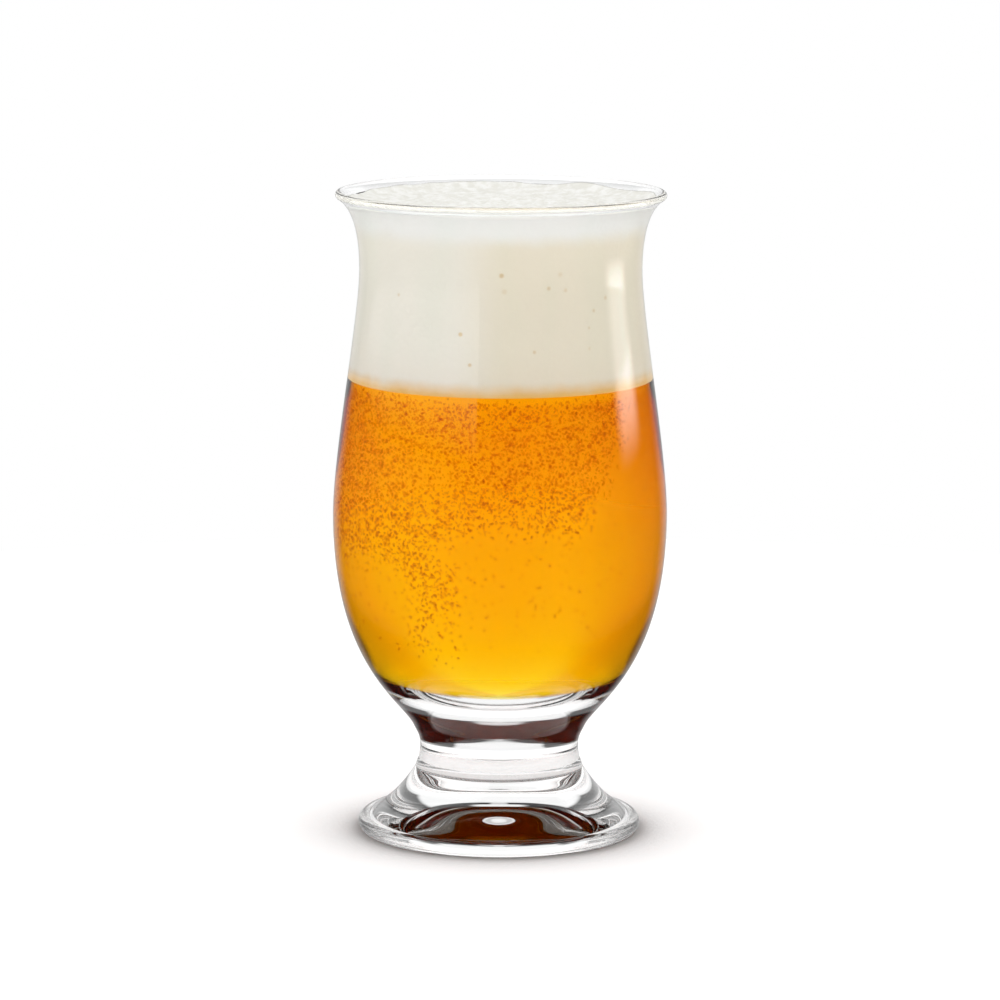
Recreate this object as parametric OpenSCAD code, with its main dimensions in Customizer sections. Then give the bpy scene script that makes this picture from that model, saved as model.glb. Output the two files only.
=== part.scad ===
// Tulip beer glass, poured: a blown bowl, a short solid stem and a flared foot, which are three gathers
// of clear glass joined hot, with the beer and its head of foam standing in the bowl.
// Lengths are in millimetres. The origin is at the middle of the ring that the foot stands on, +Z up.

/* [Foot] */
// Diameter of the foot
foot_d = 68; // [60:0.5:76]
// Height of the foot, up to its joint with the stem
foot_h = 17.6; // [14:0.1:22]
// Rounding radius of the foot's edge
foot_edge_r = 2; // [1:0.1:2.5]
// Slope of the foot's upper face where it leaves the edge, in degrees above level
foot_edge_slope = 16.6; // [8:0.1:25]
// Slope of the foot's upper face where it meets the hub ring, in degrees off upright
foot_hub_slope = 30.9; // [20:0.1:45]
// Height of the hub ring, the fine collar left where the foot was joined to the stem
hub_h = 2.1; // [1:0.1:3]
// How much wider the hub ring is at its lower end than at its upper end, on the radius
hub_spread = 0.8; // [0.2:0.1:1.5]
// How far the hub ring swells out between its ends
hub_swell = 0.1; // [0:0.05:0.4]
// Width of the flat ring that the foot stands on
stand_ring_w = 1.9; // [1.5:0.1:6]
// Width of the small step from the flat ring up to the hollow
ring_step_w = 1; // [0.4:0.1:2]
// Height of that step
ring_step_h = 0.4; // [0.2:0.1:0.8]
// Height of the hollow under the foot, at its middle
hollow_h = 3.5; // [1.5:0.1:7]

/* [Stem] */
// Diameter of the waist, the narrowest place of the stem
waist_d = 38.2; // [34:0.1:42]
// Height of the stem, from the foot to the bowl
stem_h = 8.4; // [6:0.1:14]
// Height of the waist above the joint with the foot
waist_rise = 3.2; // [2:0.1:4]
// How much wider the stem is at the foot than at the waist, on the radius
stem_low_spread = 0.3; // [0.2:0.1:1.5]
// How much wider the stem is at the bowl than at the waist, on the radius
stem_top_spread = 1.7; // [1:0.1:3]
// Slope of the outline where the stem passes into the bowl, in degrees off upright
root_slope = 26.1; // [15:0.1:40]

/* [Bowl] */
// Diameter of the belly, the widest place of the bowl
belly_d = 80.2; // [72:0.1:90]
// Height of the belly above the joint with the stem
belly_rise = 51.2; // [44:0.1:60]
// Diameter of the neck under the flared rim
neck_d = 67.5; // [60:0.1:74]
// Height of the neck above the belly
neck_rise = 58.9; // [46:0.1:70]
// Diameter over the rim
rim_d = 79; // [76:0.1:90]
// Height of the flare, from the neck to the top of the rim
flare_h = 18.9; // [14:0.1:26]
// Thickness of the rounded lip
lip_t = 1.8; // [1.2:0.1:2.4]
// Slope of the flare at the lip, in degrees off upright
lip_slope = 58; // [40:1:65]
// Thickness of the wall at the neck
neck_wall = 1.7; // [1.2:0.1:3]
// Thickness of the wall at the belly
belly_wall = 2; // [1.4:0.1:4]
// Thickness of the solid glass between the stem and the floor of the bowl
floor_t = 9.9; // [9:0.1:16]

/* [Contents] */
// Free height between the head of foam and the top of the rim
head_gap = 3.6; // [3:0.1:20]
// Height of the head of foam
head_h = 41.4; // [15:0.1:50]
// How far the foam climbs the wall above its top
climb_h = 2.2; // [0.5:0.1:2.7]
// Distance from the wall at which the climb has fallen to about a third
climb_fall = 3; // [1.5:0.1:4]
// Distance between the lumps on top of the foam
lump_gap = 5.8; // [5:0.1:9]
// Height of the tallest lump
lump_h = 0.7; // [0.3:0.1:1.2]

/* [Hidden] */
$fn = 180;

// Steps along each curve of the outline
curve_steps = 28;
edge_steps = 12;
hub_steps = 6;
climb_steps = 9;

// Lengths of the curves' handles, as shares of the stretch or the rise that each curve spans
foot_edge_share = 0.372;
foot_hub_share = 0.175;
hollow_top_share = 0.416;
hollow_skirt_share = 0.562;
stem_share = 0.451;
root_share = 0.136;
belly_low_share = 0.714;
belly_high_share = 0.24;
neck_low_share = 0.18;
neck_high_share = 0.43;
lip_share = 0.25;
floor_share = 0.835;
floor_side_share = 0.536;

// How often the climb falls to about a third before it ends
climb_folds = 3;

// Lumps on the foam: their radii and spread as shares of the distance between them, and their usual height
lump_low_share = 0.46;
lump_top_share = 0.2;
lump_pack_share = 0.57;
lump_stray_share = 0.08;
lump_usual_share = 0.7;

// Angle that sets each lump apart from the one before it, as seeds stand in a sunflower
golden_angle = 180 * (3 - sqrt(5));

// Heights of the joints and of the outline's turning places
bowl_z = foot_h + stem_h;
waist_z = foot_h + waist_rise;
floor_z = bowl_z + floor_t;
belly_z = bowl_z + belly_rise;
neck_z = belly_z + neck_rise;
rim_z = neck_z + flare_h;
head_z = rim_z - head_gap;
beer_z = head_z - head_h;
climb_z = head_z + climb_h;

// Radii at those places
waist_r = waist_d / 2;
hub_top_r = waist_r + stem_low_spread;
hub_low_r = hub_top_r + hub_spread;
root_r = waist_r + stem_top_spread;
lip_r = lip_t / 2;
ring_r = foot_d / 2 - foot_edge_r - stand_ring_w;
hollow_r = ring_r - ring_step_w;

// Directions in the outline's plane, written as [outward, up]
up = [0, 1];
outward = [1, 0];
function leaning(slope) = [sin(slope), cos(slope)];

// Point at share t of the cubic curve from a to d with handle ends b and c
function curve_point(a, b, c, d, t) =
    pow(1 - t, 3) * a + 3 * pow(1 - t, 2) * t * b + 3 * (1 - t) * pow(t, 2) * c + pow(t, 3) * d;

// Points of that curve, with the last one left to the stretch that follows
function curve(a, b, c, d) = [for (i = [0:curve_steps - 1]) curve_point(a, b, c, d, i / curve_steps)];

// Points of an arc round a centre, both ends included
function arc(centre, r, from, to, steps) =
    [for (i = [0:steps]) let (a = from + (to - from) * i / steps) centre + r * [cos(a), sin(a)]];

function reversed(points) = [for (i = [len(points) - 1:-1:0]) points[i]];

// Outline of the foot: rounded edge, upper face sweeping up to the hub ring, and the hub ring itself
edge_centre = [foot_d / 2 - foot_edge_r, foot_edge_r];
edge_line = arc(edge_centre, foot_edge_r, -90, 90 - foot_edge_slope, edge_steps);
edge_top = edge_line[edge_steps];
hub_low = [hub_low_r, foot_h - hub_h];
hub_top = [hub_top_r, foot_h];
foot_reach = norm(hub_low - edge_top);
foot_face = curve(
    edge_top,
    edge_top + foot_edge_share * foot_reach * [-cos(foot_edge_slope), sin(foot_edge_slope)],
    hub_low - foot_hub_share * foot_reach * leaning(-foot_hub_slope),
    hub_low
);
hub_ring = [for (i = [0:hub_steps]) let (t = i / hub_steps)
    (1 - t) * hub_low + t * hub_top + 4 * t * (1 - t) * hub_swell * outward];

// Underside of the foot: a bell-shaped hollow that runs out level, then the step down to the flat ring
hollow_top = [0, hollow_h];
hollow_skirt = [hollow_r, ring_step_h];
hollow_line = curve(
    hollow_top,
    hollow_top + hollow_top_share * hollow_r * outward,
    hollow_skirt - hollow_skirt_share * hollow_r * outward,
    hollow_skirt
);
under_line = concat(hollow_line, [hollow_skirt, [ring_r, 0]]);

// Outline of the stem, from the hub ring in to the waist and out again to the root of the bowl
waist = [waist_r, waist_z];
root = [root_r, bowl_z];
stem_low = curve(
    hub_top,
    hub_top + stem_share * [-stem_low_spread, waist_rise],
    waist - stem_share * waist_rise * up,
    waist
);
stem_high_h = bowl_z - waist_z;
stem_high = curve(
    waist,
    waist + stem_share * stem_high_h * up,
    root - stem_share * stem_high_h * leaning(root_slope),
    root
);

// Outer outline of the bowl, from the root over belly and neck to the lip
belly = [belly_d / 2, belly_z];
neck = [neck_d / 2, neck_z];
lip_centre = [rim_d / 2 - lip_r, rim_z - lip_r];
lip_line = arc(lip_centre, lip_r, -lip_slope, 180 - lip_slope, edge_steps);
lip_outer = lip_line[0];
lip_inner = lip_line[edge_steps];
outer_low = curve(
    root,
    root + root_share * belly_rise * leaning(root_slope),
    belly - belly_low_share * belly_rise * up,
    belly
);
outer_high = curve(
    belly,
    belly + belly_high_share * neck_rise * up,
    neck - neck_low_share * neck_rise * up,
    neck
);
outer_flare = curve(
    neck,
    neck + neck_high_share * flare_h * up,
    lip_outer - lip_share * flare_h * leaning(lip_slope),
    lip_outer
);

// Inner outline of the bowl, from the middle of its floor to the lip
floor_middle = [0, floor_z];
inner_belly = belly - belly_wall * outward;
inner_neck = neck - neck_wall * outward;
inner_low = curve(
    floor_middle,
    floor_middle + floor_share * inner_belly[0] * outward,
    inner_belly - floor_side_share * (belly_z - floor_z) * up,
    inner_belly
);
inner_high = curve(
    inner_belly,
    inner_belly + belly_high_share * neck_rise * up,
    inner_neck - neck_low_share * neck_rise * up,
    inner_neck
);
inner_flare = curve(
    inner_neck,
    inner_neck + neck_high_share * flare_h * up,
    lip_inner - lip_share * flare_h * leaning(lip_slope),
    lip_inner
);
inner_line = concat(inner_low, inner_high, inner_flare, [lip_inner]);

// Radius of the inside of the bowl at a height
wall_places = [for (p = inner_line) [p[1], p[0]]];
function wall_r(z) = lookup(z, wall_places);

// Outline of the head of foam: up the wall, then down the climb to its flat top
climb_r = wall_r(climb_z);
flat_r = climb_r - climb_folds * climb_fall;
climb_rest = exp(-climb_folds);
function climb_left(t) = (exp(-climb_folds * t) - climb_rest) / (1 - climb_rest);
head_side = [for (p = inner_line) if (p[1] > beer_z && p[1] < climb_z) p];
head_climb = [for (i = [0:climb_steps]) let (t = i / climb_steps)
    [(1 - t) * climb_r + t * flat_r, head_z + climb_h * climb_left(t)]];

// Places and heights of the lumps
lump_r = lump_low_share * lump_gap;
lump_step = lump_pack_share * lump_gap;
lump_count = floor(pow((flat_r - lump_r) / lump_step, 2));
function lump_stray(i) = lump_stray_share * lump_gap * [sin(i * i), cos(i * i)];
function lump_place(i) = lump_step * sqrt(i) * [cos(i * golden_angle), sin(i * golden_angle)] + lump_stray(i);
function lump_share(i) = lump_usual_share + (1 - lump_usual_share) * sin(i * i * i);

// Flared foot with its hollow underside
module foot() {
    color("azure", 0.5)
        rotate_extrude()
            polygon(concat(under_line, edge_line, foot_face, hub_ring, [[0, foot_h]]));
}

// Short solid stem with the waist
module stem() {
    color("lightcyan", 0.5)
        rotate_extrude()
            polygon(concat([[0, foot_h]], stem_low, stem_high, [root, [0, bowl_z]]));
}

// Bowl: thick solid root, belly, drawn-in neck and flared rim
module bowl() {
    color("aliceblue", 0.5)
        rotate_extrude()
            polygon(concat([[0, bowl_z]], outer_low, outer_high, outer_flare, lip_line, reversed(inner_line)));
}

// Beer, from the floor of the bowl to the underside of the head
module beer() {
    color("orange", 0.8)
        rotate_extrude()
            polygon(concat([for (p = inner_line) if (p[1] < beer_z) p], [[wall_r(beer_z), beer_z], [0, beer_z]]));
}

// Head of foam on the beer, with lumps on its top
module foam_head() {
    color("ivory") {
        rotate_extrude()
            polygon(concat([[0, beer_z], [wall_r(beer_z), beer_z]], head_side, head_climb, [[0, head_z]]));
        for (i = [1:lump_count])
            translate(concat(lump_place(i), [head_z - lump_h]))
                cylinder(r1 = lump_r, r2 = lump_top_share * lump_gap, h = lump_h + lump_share(i) * lump_h);
    }
}

foot();
stem();
bowl();
beer();
foam_head();
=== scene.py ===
"""Dressed model of a poured tulip beer glass.

Three gathers of clear glass are fused into one body, which holds amber beer with rising bubbles and a head of
foam. Lengths in the classes are in millimetres, in the part's own frame; meshes are written in metres.
"""

import logging
import math
from dataclasses import dataclass
from enum import IntEnum
from typing import Any, Iterable, Sequence

import bpy
import numpy as np
from mathutils import Matrix, Vector


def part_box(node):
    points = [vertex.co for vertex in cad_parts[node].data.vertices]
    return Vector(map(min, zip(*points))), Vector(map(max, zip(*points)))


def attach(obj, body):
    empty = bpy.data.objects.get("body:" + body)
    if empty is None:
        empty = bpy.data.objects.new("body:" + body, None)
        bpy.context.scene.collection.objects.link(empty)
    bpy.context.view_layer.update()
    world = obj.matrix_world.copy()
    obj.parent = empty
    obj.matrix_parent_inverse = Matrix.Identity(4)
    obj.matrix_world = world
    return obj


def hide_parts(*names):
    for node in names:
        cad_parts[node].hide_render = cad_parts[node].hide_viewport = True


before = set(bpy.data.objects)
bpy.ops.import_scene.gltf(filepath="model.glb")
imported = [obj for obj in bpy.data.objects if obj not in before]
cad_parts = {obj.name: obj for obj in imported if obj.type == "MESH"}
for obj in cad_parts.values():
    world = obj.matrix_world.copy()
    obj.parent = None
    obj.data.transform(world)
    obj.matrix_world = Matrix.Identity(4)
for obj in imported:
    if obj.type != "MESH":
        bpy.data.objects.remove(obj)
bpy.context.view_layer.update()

Colour = tuple[float, float, float]
Span = tuple[float, float]
Pairs = tuple[Span, ...]

MM = 0.001
UP = np.array([0.0, 1.0])
OUTWARD = np.array([1.0, 0.0])
BODY = "root"
WHITE: Colour = (1.0, 1.0, 1.0)
BLACK: Colour = (0.0, 0.0, 0.0)
log = logging.getLogger("tulip_beer_glass")


class Zone(IntEnum):
    """Finishes that the bands of one glass gather can take, in the order of its material slots."""

    DRY = 0
    WET = 1
    JOINT = 2
    FOAMY = 3


@dataclass(frozen=True)
class Stretch:
    """One smooth stretch of an outline that is turned about the upright axis.

    Attributes:
        points: Places along it, one row each, as [radius, height].
        tangents: Directions of travel at those places.
        zone: The finish of its bands.
    """

    points: np.ndarray
    tangents: np.ndarray
    zone: Zone = Zone.DRY

    def reversed(self) -> "Stretch":
        """The same stretch, travelled the other way."""
        return Stretch(self.points[::-1], -self.tangents[::-1], self.zone)

    def cut(self, keep: np.ndarray, zone: Zone) -> "Stretch":
        """The rows that keep marks, as a stretch with its own finish."""
        return Stretch(self.points[keep], self.tangents[keep], zone)

    def split(self, height: float, below: Zone, above: Zone) -> tuple["Stretch", "Stretch"]:
        """Parts a rising stretch at the row next above a height.

        Args:
            height: Where to part it.
            below: Finish of the lower part.
            above: Finish of the upper part.

        Returns:
            The lower and the upper part, which share that row.
        """
        level = int(np.searchsorted(self.points[:, 1], height))
        rows = np.arange(len(self.points))
        return self.cut(rows <= level, below), self.cut(rows >= level, above)


def leaning(slope: float) -> np.ndarray:
    """Unit direction that leans outward from upright by slope degrees."""
    return np.array([math.sin(math.radians(slope)), math.cos(math.radians(slope))])


def cubic(a: np.ndarray, b: np.ndarray, c: np.ndarray, d: np.ndarray, steps: int) -> Stretch:
    """Cubic curve from a to d with handle ends b and c.

    The point at share t is (1-t)^3 a + 3(1-t)^2 t b + 3(1-t) t^2 c + t^3 d. The tangent is a third of its
    derivative.

    Args:
        a: First point.
        b: End of the first handle.
        c: End of the last handle.
        d: Last point.
        steps: Number of bands.

    Returns:
        The curve, both ends included.
    """
    t = np.linspace(0.0, 1.0, steps + 1)[:, None]
    points = (1 - t) ** 3 * a + 3 * (1 - t) ** 2 * t * b + 3 * (1 - t) * t**2 * c + t**3 * d
    tangents = (1 - t) ** 2 * (b - a) + 2 * (1 - t) * t * (c - b) + t**2 * (d - c)
    return Stretch(points, tangents)


def arc(centre: np.ndarray, radius: float, first: float, last: float, steps: int) -> Stretch:
    """Arc round a centre: centre + radius [cos a, sin a], with a going from first to last.

    Args:
        centre: Middle of the arc.
        radius: Its radius.
        first: Angle of its first point, in degrees.
        last: Angle of its last point, in degrees.
        steps: Number of bands.

    Returns:
        The arc, both ends included, with a tangent at right angles to each radius.
    """
    angle = np.radians(np.linspace(first, last, steps + 1))
    spokes = np.stack([np.cos(angle), np.sin(angle)], axis=1)
    tangents = np.stack([-spokes[:, 1], spokes[:, 0]], axis=1) * np.sign(last - first)
    return Stretch(centre + radius * spokes, tangents)


def straight(start: np.ndarray, end: np.ndarray, steps: int = 1, zone: Zone = Zone.DRY) -> Stretch:
    """Straight stretch from start to end: start + t (end - start)."""
    t = np.linspace(0.0, 1.0, steps + 1)[:, None]
    return Stretch(start + t * (end - start), np.repeat([end - start], steps + 1, axis=0), zone)


def around(segments: int) -> np.ndarray:
    """Azimuths of the upright seams of a turned surface, in radians, one per segment."""
    return np.arange(segments) * (2.0 * math.pi / segments)


def new_piece(mesh: bpy.types.Mesh, nodes: Sequence[str] = ()) -> bpy.types.Object:
    """Links a mesh as a piece that rides on the glass.

    Args:
        mesh: The piece's mesh, in metres. The piece takes its name.
        nodes: CAD nodes that it stands for.

    Returns:
        The piece.
    """
    piece = bpy.data.objects.new(mesh.name, mesh)
    bpy.context.scene.collection.objects.link(piece)
    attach(piece, BODY)
    if nodes:
        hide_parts(*nodes)
    return piece


def ring_faces(rings: int, segments: int) -> tuple[np.ndarray, np.ndarray, np.ndarray]:
    """Faces of a closed grid whose first and last rings are shrunk to one pole vertex each.

    Vertex 0 is the first pole, then come the rings in order, and the last vertex is the other pole. A quad
    joins neighbours s and s+1 of one ring with those of the next, so that an outline that is travelled from
    the lower pole outward and up gets faces that point away from the solid.

    Args:
        rings: Number of whole rings between the poles.
        segments: Vertices in each ring.

    Returns:
        The first pole's triangles, the quads ring by ring, and the last pole's triangles.
    """
    s = np.arange(segments)
    n = (s + 1) % segments
    base = 1 + np.arange(rings - 1)[:, None] * segments
    quads = np.stack([base + s, base + n, base + segments + n, base + segments + s], axis=2).reshape(-1, 4)
    top = 1 + (rings - 1) * segments
    first = np.stack([np.zeros_like(s), 1 + n, 1 + s], axis=1)
    last = np.stack([top + s, top + n, np.full_like(s, top + segments)], axis=1)
    return first, quads, last


def grid_mesh(name: str, rings: np.ndarray, first_z: float, last_z: float) -> bpy.types.Mesh:
    """Closed smooth mesh from a grid of rings between two poles on the axis.

    Args:
        name: The mesh's name.
        rings: Points in millimetres, ring by ring, with shape (rings, segments, 3).
        first_z: Height of the pole that closes the first ring.
        last_z: Height of the pole that closes the last ring.

    Returns:
        The mesh, in metres.
    """
    points = np.concatenate([[[0.0, 0.0, first_z]], rings.reshape(-1, 3), [[0.0, 0.0, last_z]]]) * MM
    first, quads, last = ring_faces(rings.shape[0], rings.shape[1])
    mesh = bpy.data.meshes.new(name)
    mesh.from_pydata(points.tolist(), [], first.tolist() + quads.tolist() + last.tolist())
    mesh.polygons.foreach_set("use_smooth", np.ones(len(mesh.polygons), dtype=bool))
    mesh.update()
    return mesh


def carried_round(rows: np.ndarray, spokes: np.ndarray) -> np.ndarray:
    """Carries each row [r, z] round the axis, to (r cos p, r sin p, z) for each azimuth p.

    Args:
        rows: Points or directions in the plane of the outline.
        spokes: The azimuths, as rows [cos p, sin p].

    Returns:
        Points or directions in space, with shape (rows, spokes, 3).
    """
    heights = np.broadcast_to(rows[:, None, 1:], (len(rows), len(spokes), 1))
    return np.concatenate([rows[:, None, :1] * spokes[None], heights], axis=2)


def corner_normals(outline: Sequence[Stretch], spokes: np.ndarray) -> np.ndarray:
    """Normals of a turned surface, one for each corner of each face, in the order of its faces.

    The normal is the tangent turned a quarter back, [tz, -tr], taken from each stretch by itself, so that a
    corner between two stretches stays crisp. At a pole it has the azimuth of the face's middle.

    Args:
        outline: The stretches that are turned.
        spokes: Azimuths of the seams, as rows [cos p, sin p].

    Returns:
        The normals, one row each.
    """
    tangents = [part.tangents / np.linalg.norm(part.tangents, axis=1, keepdims=True) for part in outline]
    normals = [np.stack([rows[:, 1], -rows[:, 0]], axis=1) for rows in tangents]
    low = np.concatenate([rows[:-1] for rows in normals])
    high = np.concatenate([rows[1:] for rows in normals])
    onward = np.roll(spokes, -1, axis=0)
    middle = 0.5 * (spokes + onward)
    middle /= np.linalg.norm(middle, axis=1, keepdims=True)
    first = [(low[:1], middle), (high[:1], onward), (high[:1], spokes)]
    quads = [(low[1:-1], spokes), (low[1:-1], onward), (high[1:-1], onward), (high[1:-1], spokes)]
    last = [(low[-1:], spokes), (low[-1:], onward), (high[-1:], middle)]
    kinds = (first, quads, last)
    faces = [np.stack([carried_round(*corner) for corner in corners], axis=2) for corners in kinds]
    return np.concatenate([part.reshape(-1, 3) for part in faces])


def turned_mesh(name: str, outline: Sequence[Stretch], segments: int) -> bpy.types.Mesh:
    """Solid of revolution about the upright axis, with exact normals and a finish for each band.

    A point [r, z] of the outline goes to (r cos p, r sin p, z) for each azimuth p.

    Args:
        name: The mesh's name.
        outline: Stretches that follow each other from one point on the axis to another.
        segments: Vertices in each ring.

    Returns:
        The closed mesh, in metres.
    """
    profile = np.concatenate([outline[0].points[:1]] + [part.points[1:] for part in outline])
    phi = around(segments)
    spokes = np.stack([np.cos(phi), np.sin(phi)], axis=1)
    mesh = grid_mesh(name, carried_round(profile[1:-1], spokes), profile[0, 1], profile[-1, 1])
    mesh.normals_split_custom_set(corner_normals(outline, spokes).tolist())
    zones = np.concatenate([np.full(len(part.points) - 1, int(part.zone)) for part in outline])
    mesh.polygons.foreach_set("material_index", np.repeat(zones, segments).astype(np.int32))
    mesh.update()
    return mesh


class Board:
    """A node tree, with short ways to add and join nodes."""

    def __init__(self, tree: bpy.types.NodeTree) -> None:
        """Starts from an empty tree."""
        self.tree = tree
        tree.nodes.clear()

    def add(self, kind: str, settings: dict[str, Any] | None = None, **inputs: Any) -> bpy.types.Node:
        """Adds a node.

        Args:
            kind: Node type, without its leading ShaderNode.
            settings: Values of the node's own properties.
            inputs: Values or output sockets for inputs, by name, with spaces written as underscores.

        Returns:
            The node.
        """
        node = self.tree.nodes.new("ShaderNode" + kind)
        for key, value in (settings or {}).items():
            setattr(node, key, value)
        for key, value in inputs.items():
            self.feed(node.inputs[key.replace("_", " ")], value)
        return node

    def feed(self, socket: bpy.types.NodeSocket, value: Any) -> None:
        """Links an output socket into an input, or sets the input to a plain value.

        Args:
            socket: The input.
            value: An output socket or a plain value.
        """
        if isinstance(value, bpy.types.NodeSocket):
            self.tree.links.new(value, socket)
        else:
            socket.default_value = value

    def feed_all(self, node: bpy.types.Node, values: Sequence[Any], order: Sequence[int] = ()) -> None:
        """Feeds the inputs of a node.

        Args:
            node: The node.
            values: Values or output sockets.
            order: Numbers of the inputs that they go to; the first ones if not given.
        """
        for index, value in zip(order or range(len(values)), values):
            self.feed(node.inputs[index], value)

    def math(self, operation: str, *values: Any) -> bpy.types.NodeSocket:
        """One step of arithmetic.

        Args:
            operation: Its name.
            values: Numbers or sockets that it takes.

        Returns:
            The result.
        """
        node = self.add("Math", {"operation": operation})
        self.feed_all(node, values)
        return node.outputs[0]

    def chain(self, operation: str, *values: Any) -> bpy.types.NodeSocket:
        """The same step of arithmetic over any number of values.

        Args:
            operation: Its name.
            values: Numbers or sockets, joined from the first to the last.

        Returns:
            The result.
        """
        total = values[0]
        for value in values[1:]:
            total = self.math(operation, total, value)
        return total

    def vector(self, operation: str, *values: Any) -> bpy.types.Node:
        """One step of arithmetic on vectors.

        Args:
            operation: Its name.
            values: Vectors or sockets that it takes.

        Returns:
            The node, whose output is named Vector or Value.
        """
        node = self.add("VectorMath", {"operation": operation})
        self.feed_all(node, values)
        return node

    def blend(self, factor: Any, first: Any, second: Any, how: str = "MIX") -> bpy.types.NodeSocket:
        """Colour that goes from first to second as factor goes from 0 to 1.

        Args:
            factor: The share of the second.
            first: A colour.
            second: A colour.
            how: How the second is laid over the first.

        Returns:
            The colour.
        """
        node = self.add("Mix", {"data_type": "RGBA", "blend_type": how})
        self.feed_all(node, (factor, first, second), (0, 6, 7))
        return node.outputs[2]

    def scattered(self, rays: Any) -> bpy.types.NodeSocket:
        """1 for light that a dull surface has scattered on its way, else 0."""
        return self.math("GREATER_THAN", rays["Diffuse Depth"], 0.5)

    def choose(self, when: Any, otherwise: Any, then: Any) -> bpy.types.NodeSocket:
        """One number or another.

        Args:
            when: 1 to take the second, 0 to take the first.
            otherwise: The first number.
            then: The second number.

        Returns:
            The number.
        """
        node = self.add("Mix", {"data_type": "FLOAT"})
        self.feed_all(node, (when, otherwise, then), (0, 2, 3))
        return node.outputs[0]

    def ramp(self, value: Any, start: Any, end: Any, low: Any = 0.0, high: Any = 1.0) -> bpy.types.NodeSocket:
        """Number that goes smoothly from low to high as value goes from start to end.

        Args:
            value: What it follows.
            start: Where it starts to change.
            end: Where it has changed.
            low: The number before.
            high: The number after.

        Returns:
            The number.
        """
        node = self.add("MapRange", {"interpolation_type": "SMOOTHSTEP"})
        self.feed_all(node, (value, start, end, low, high))
        return node.outputs[0]


@dataclass(frozen=True)
class Relief:
    """Smooth random relief: the sum of many cosine waves with random headings, lengths and phases.

    Attributes:
        seed: Start of the random numbers.
        shortest: Shortest wave length.
        longest: Longest wave length.
        count: Number of waves.
    """

    seed: int
    shortest: float
    longest: float
    count: int = 40

    def at(self, x: np.ndarray, y: np.ndarray) -> np.ndarray:
        """Height at each place, about zero, with a usual size of one.

        Args:
            x: Places along X.
            y: Places along Y.

        Returns:
            The heights.
        """
        rng = np.random.default_rng(self.seed)
        heading = rng.uniform(0.0, 2.0 * math.pi, self.count)
        pace = 2.0 * math.pi / rng.uniform(self.shortest, self.longest, self.count)
        phase = rng.uniform(0.0, 2.0 * math.pi, self.count)
        along = x[..., None] * np.cos(heading) + y[..., None] * np.sin(heading)
        return np.cos(along * pace + phase).sum(axis=-1) * math.sqrt(2.0 / self.count)


def smooth(value: np.ndarray, start: float, end: float) -> np.ndarray:
    """Goes from 0 to 1 as value goes from start to end, as 3t^2 - 2t^3."""
    t = np.clip((value - start) / (end - start), 0.0, 1.0)
    return t * t * (3.0 - 2.0 * t)


def along(value: np.ndarray, pairs: Pairs) -> np.ndarray:
    """Follows a line of straight stretches through pairs of value and result."""
    return np.interp(value, *np.transpose(pairs))


def in_metres(lengths: Iterable[float]) -> tuple[float, ...]:
    """Lengths in millimetres, given in metres."""
    return tuple(length * MM for length in lengths)


def rgba(colour: Sequence[float]) -> tuple[float, float, float, float]:
    """A colour with full opacity."""
    return (colour[0], colour[1], colour[2], 1.0)


def new_material(name: str) -> tuple[bpy.types.Material, Board, bpy.types.Node]:
    """A material with one Principled shader.

    Args:
        name: The material's name.

    Returns:
        The material, its node board and the shader.
    """
    material = bpy.data.materials.new(name)
    material.use_nodes = True
    board = Board(material.node_tree)
    shader = board.add("BsdfPrincipled")
    out = board.add("OutputMaterial")
    board.feed(out.inputs["Surface"], shader.outputs["BSDF"])
    return material, board, shader


def make_clear(shader: bpy.types.Node, ior: float) -> None:
    """Makes a shader smooth and lets all light into it.

    Args:
        shader: The shader.
        ior: Index of refraction against what its face touches.
    """
    shader.inputs["Roughness"].default_value = 0.0
    shader.inputs["IOR"].default_value = ior
    shader.inputs["Transmission Weight"].default_value = 1.0


def make_glow(shader: bpy.types.Node, colour: Colour) -> None:
    """Makes a shader dull, with a white glow whose strength is still to be fed.

    Args:
        shader: The shader.
        colour: Its colour without the glow.
    """
    shader.inputs["Base Color"].default_value = rgba(colour)
    shader.inputs["Roughness"].default_value = 1.0
    shader.inputs["Specular IOR Level"].default_value = 0.0
    shader.inputs["Emission Color"].default_value = rgba(WHITE)


class Effect:
    """A node group that is built once and shared by the materials that use it.

    Attributes:
        name: The node group's name.
    """

    name: str

    def group(self) -> bpy.types.NodeTree:
        """Finds the group, or builds it at its first use.

        Returns:
            The group.
        """
        known = bpy.data.node_groups.get(self.name)
        if known is None:
            known = bpy.data.node_groups.new(self.name, "ShaderNodeTree")
            self.fill(known, Board(known))
        return known

    def fill(self, group: bpy.types.NodeTree, board: Board) -> None:
        """Gives the group its sockets and nodes.

        Args:
            group: The empty group.
            board: Its nodes.
        """
        raise NotImplementedError


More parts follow.
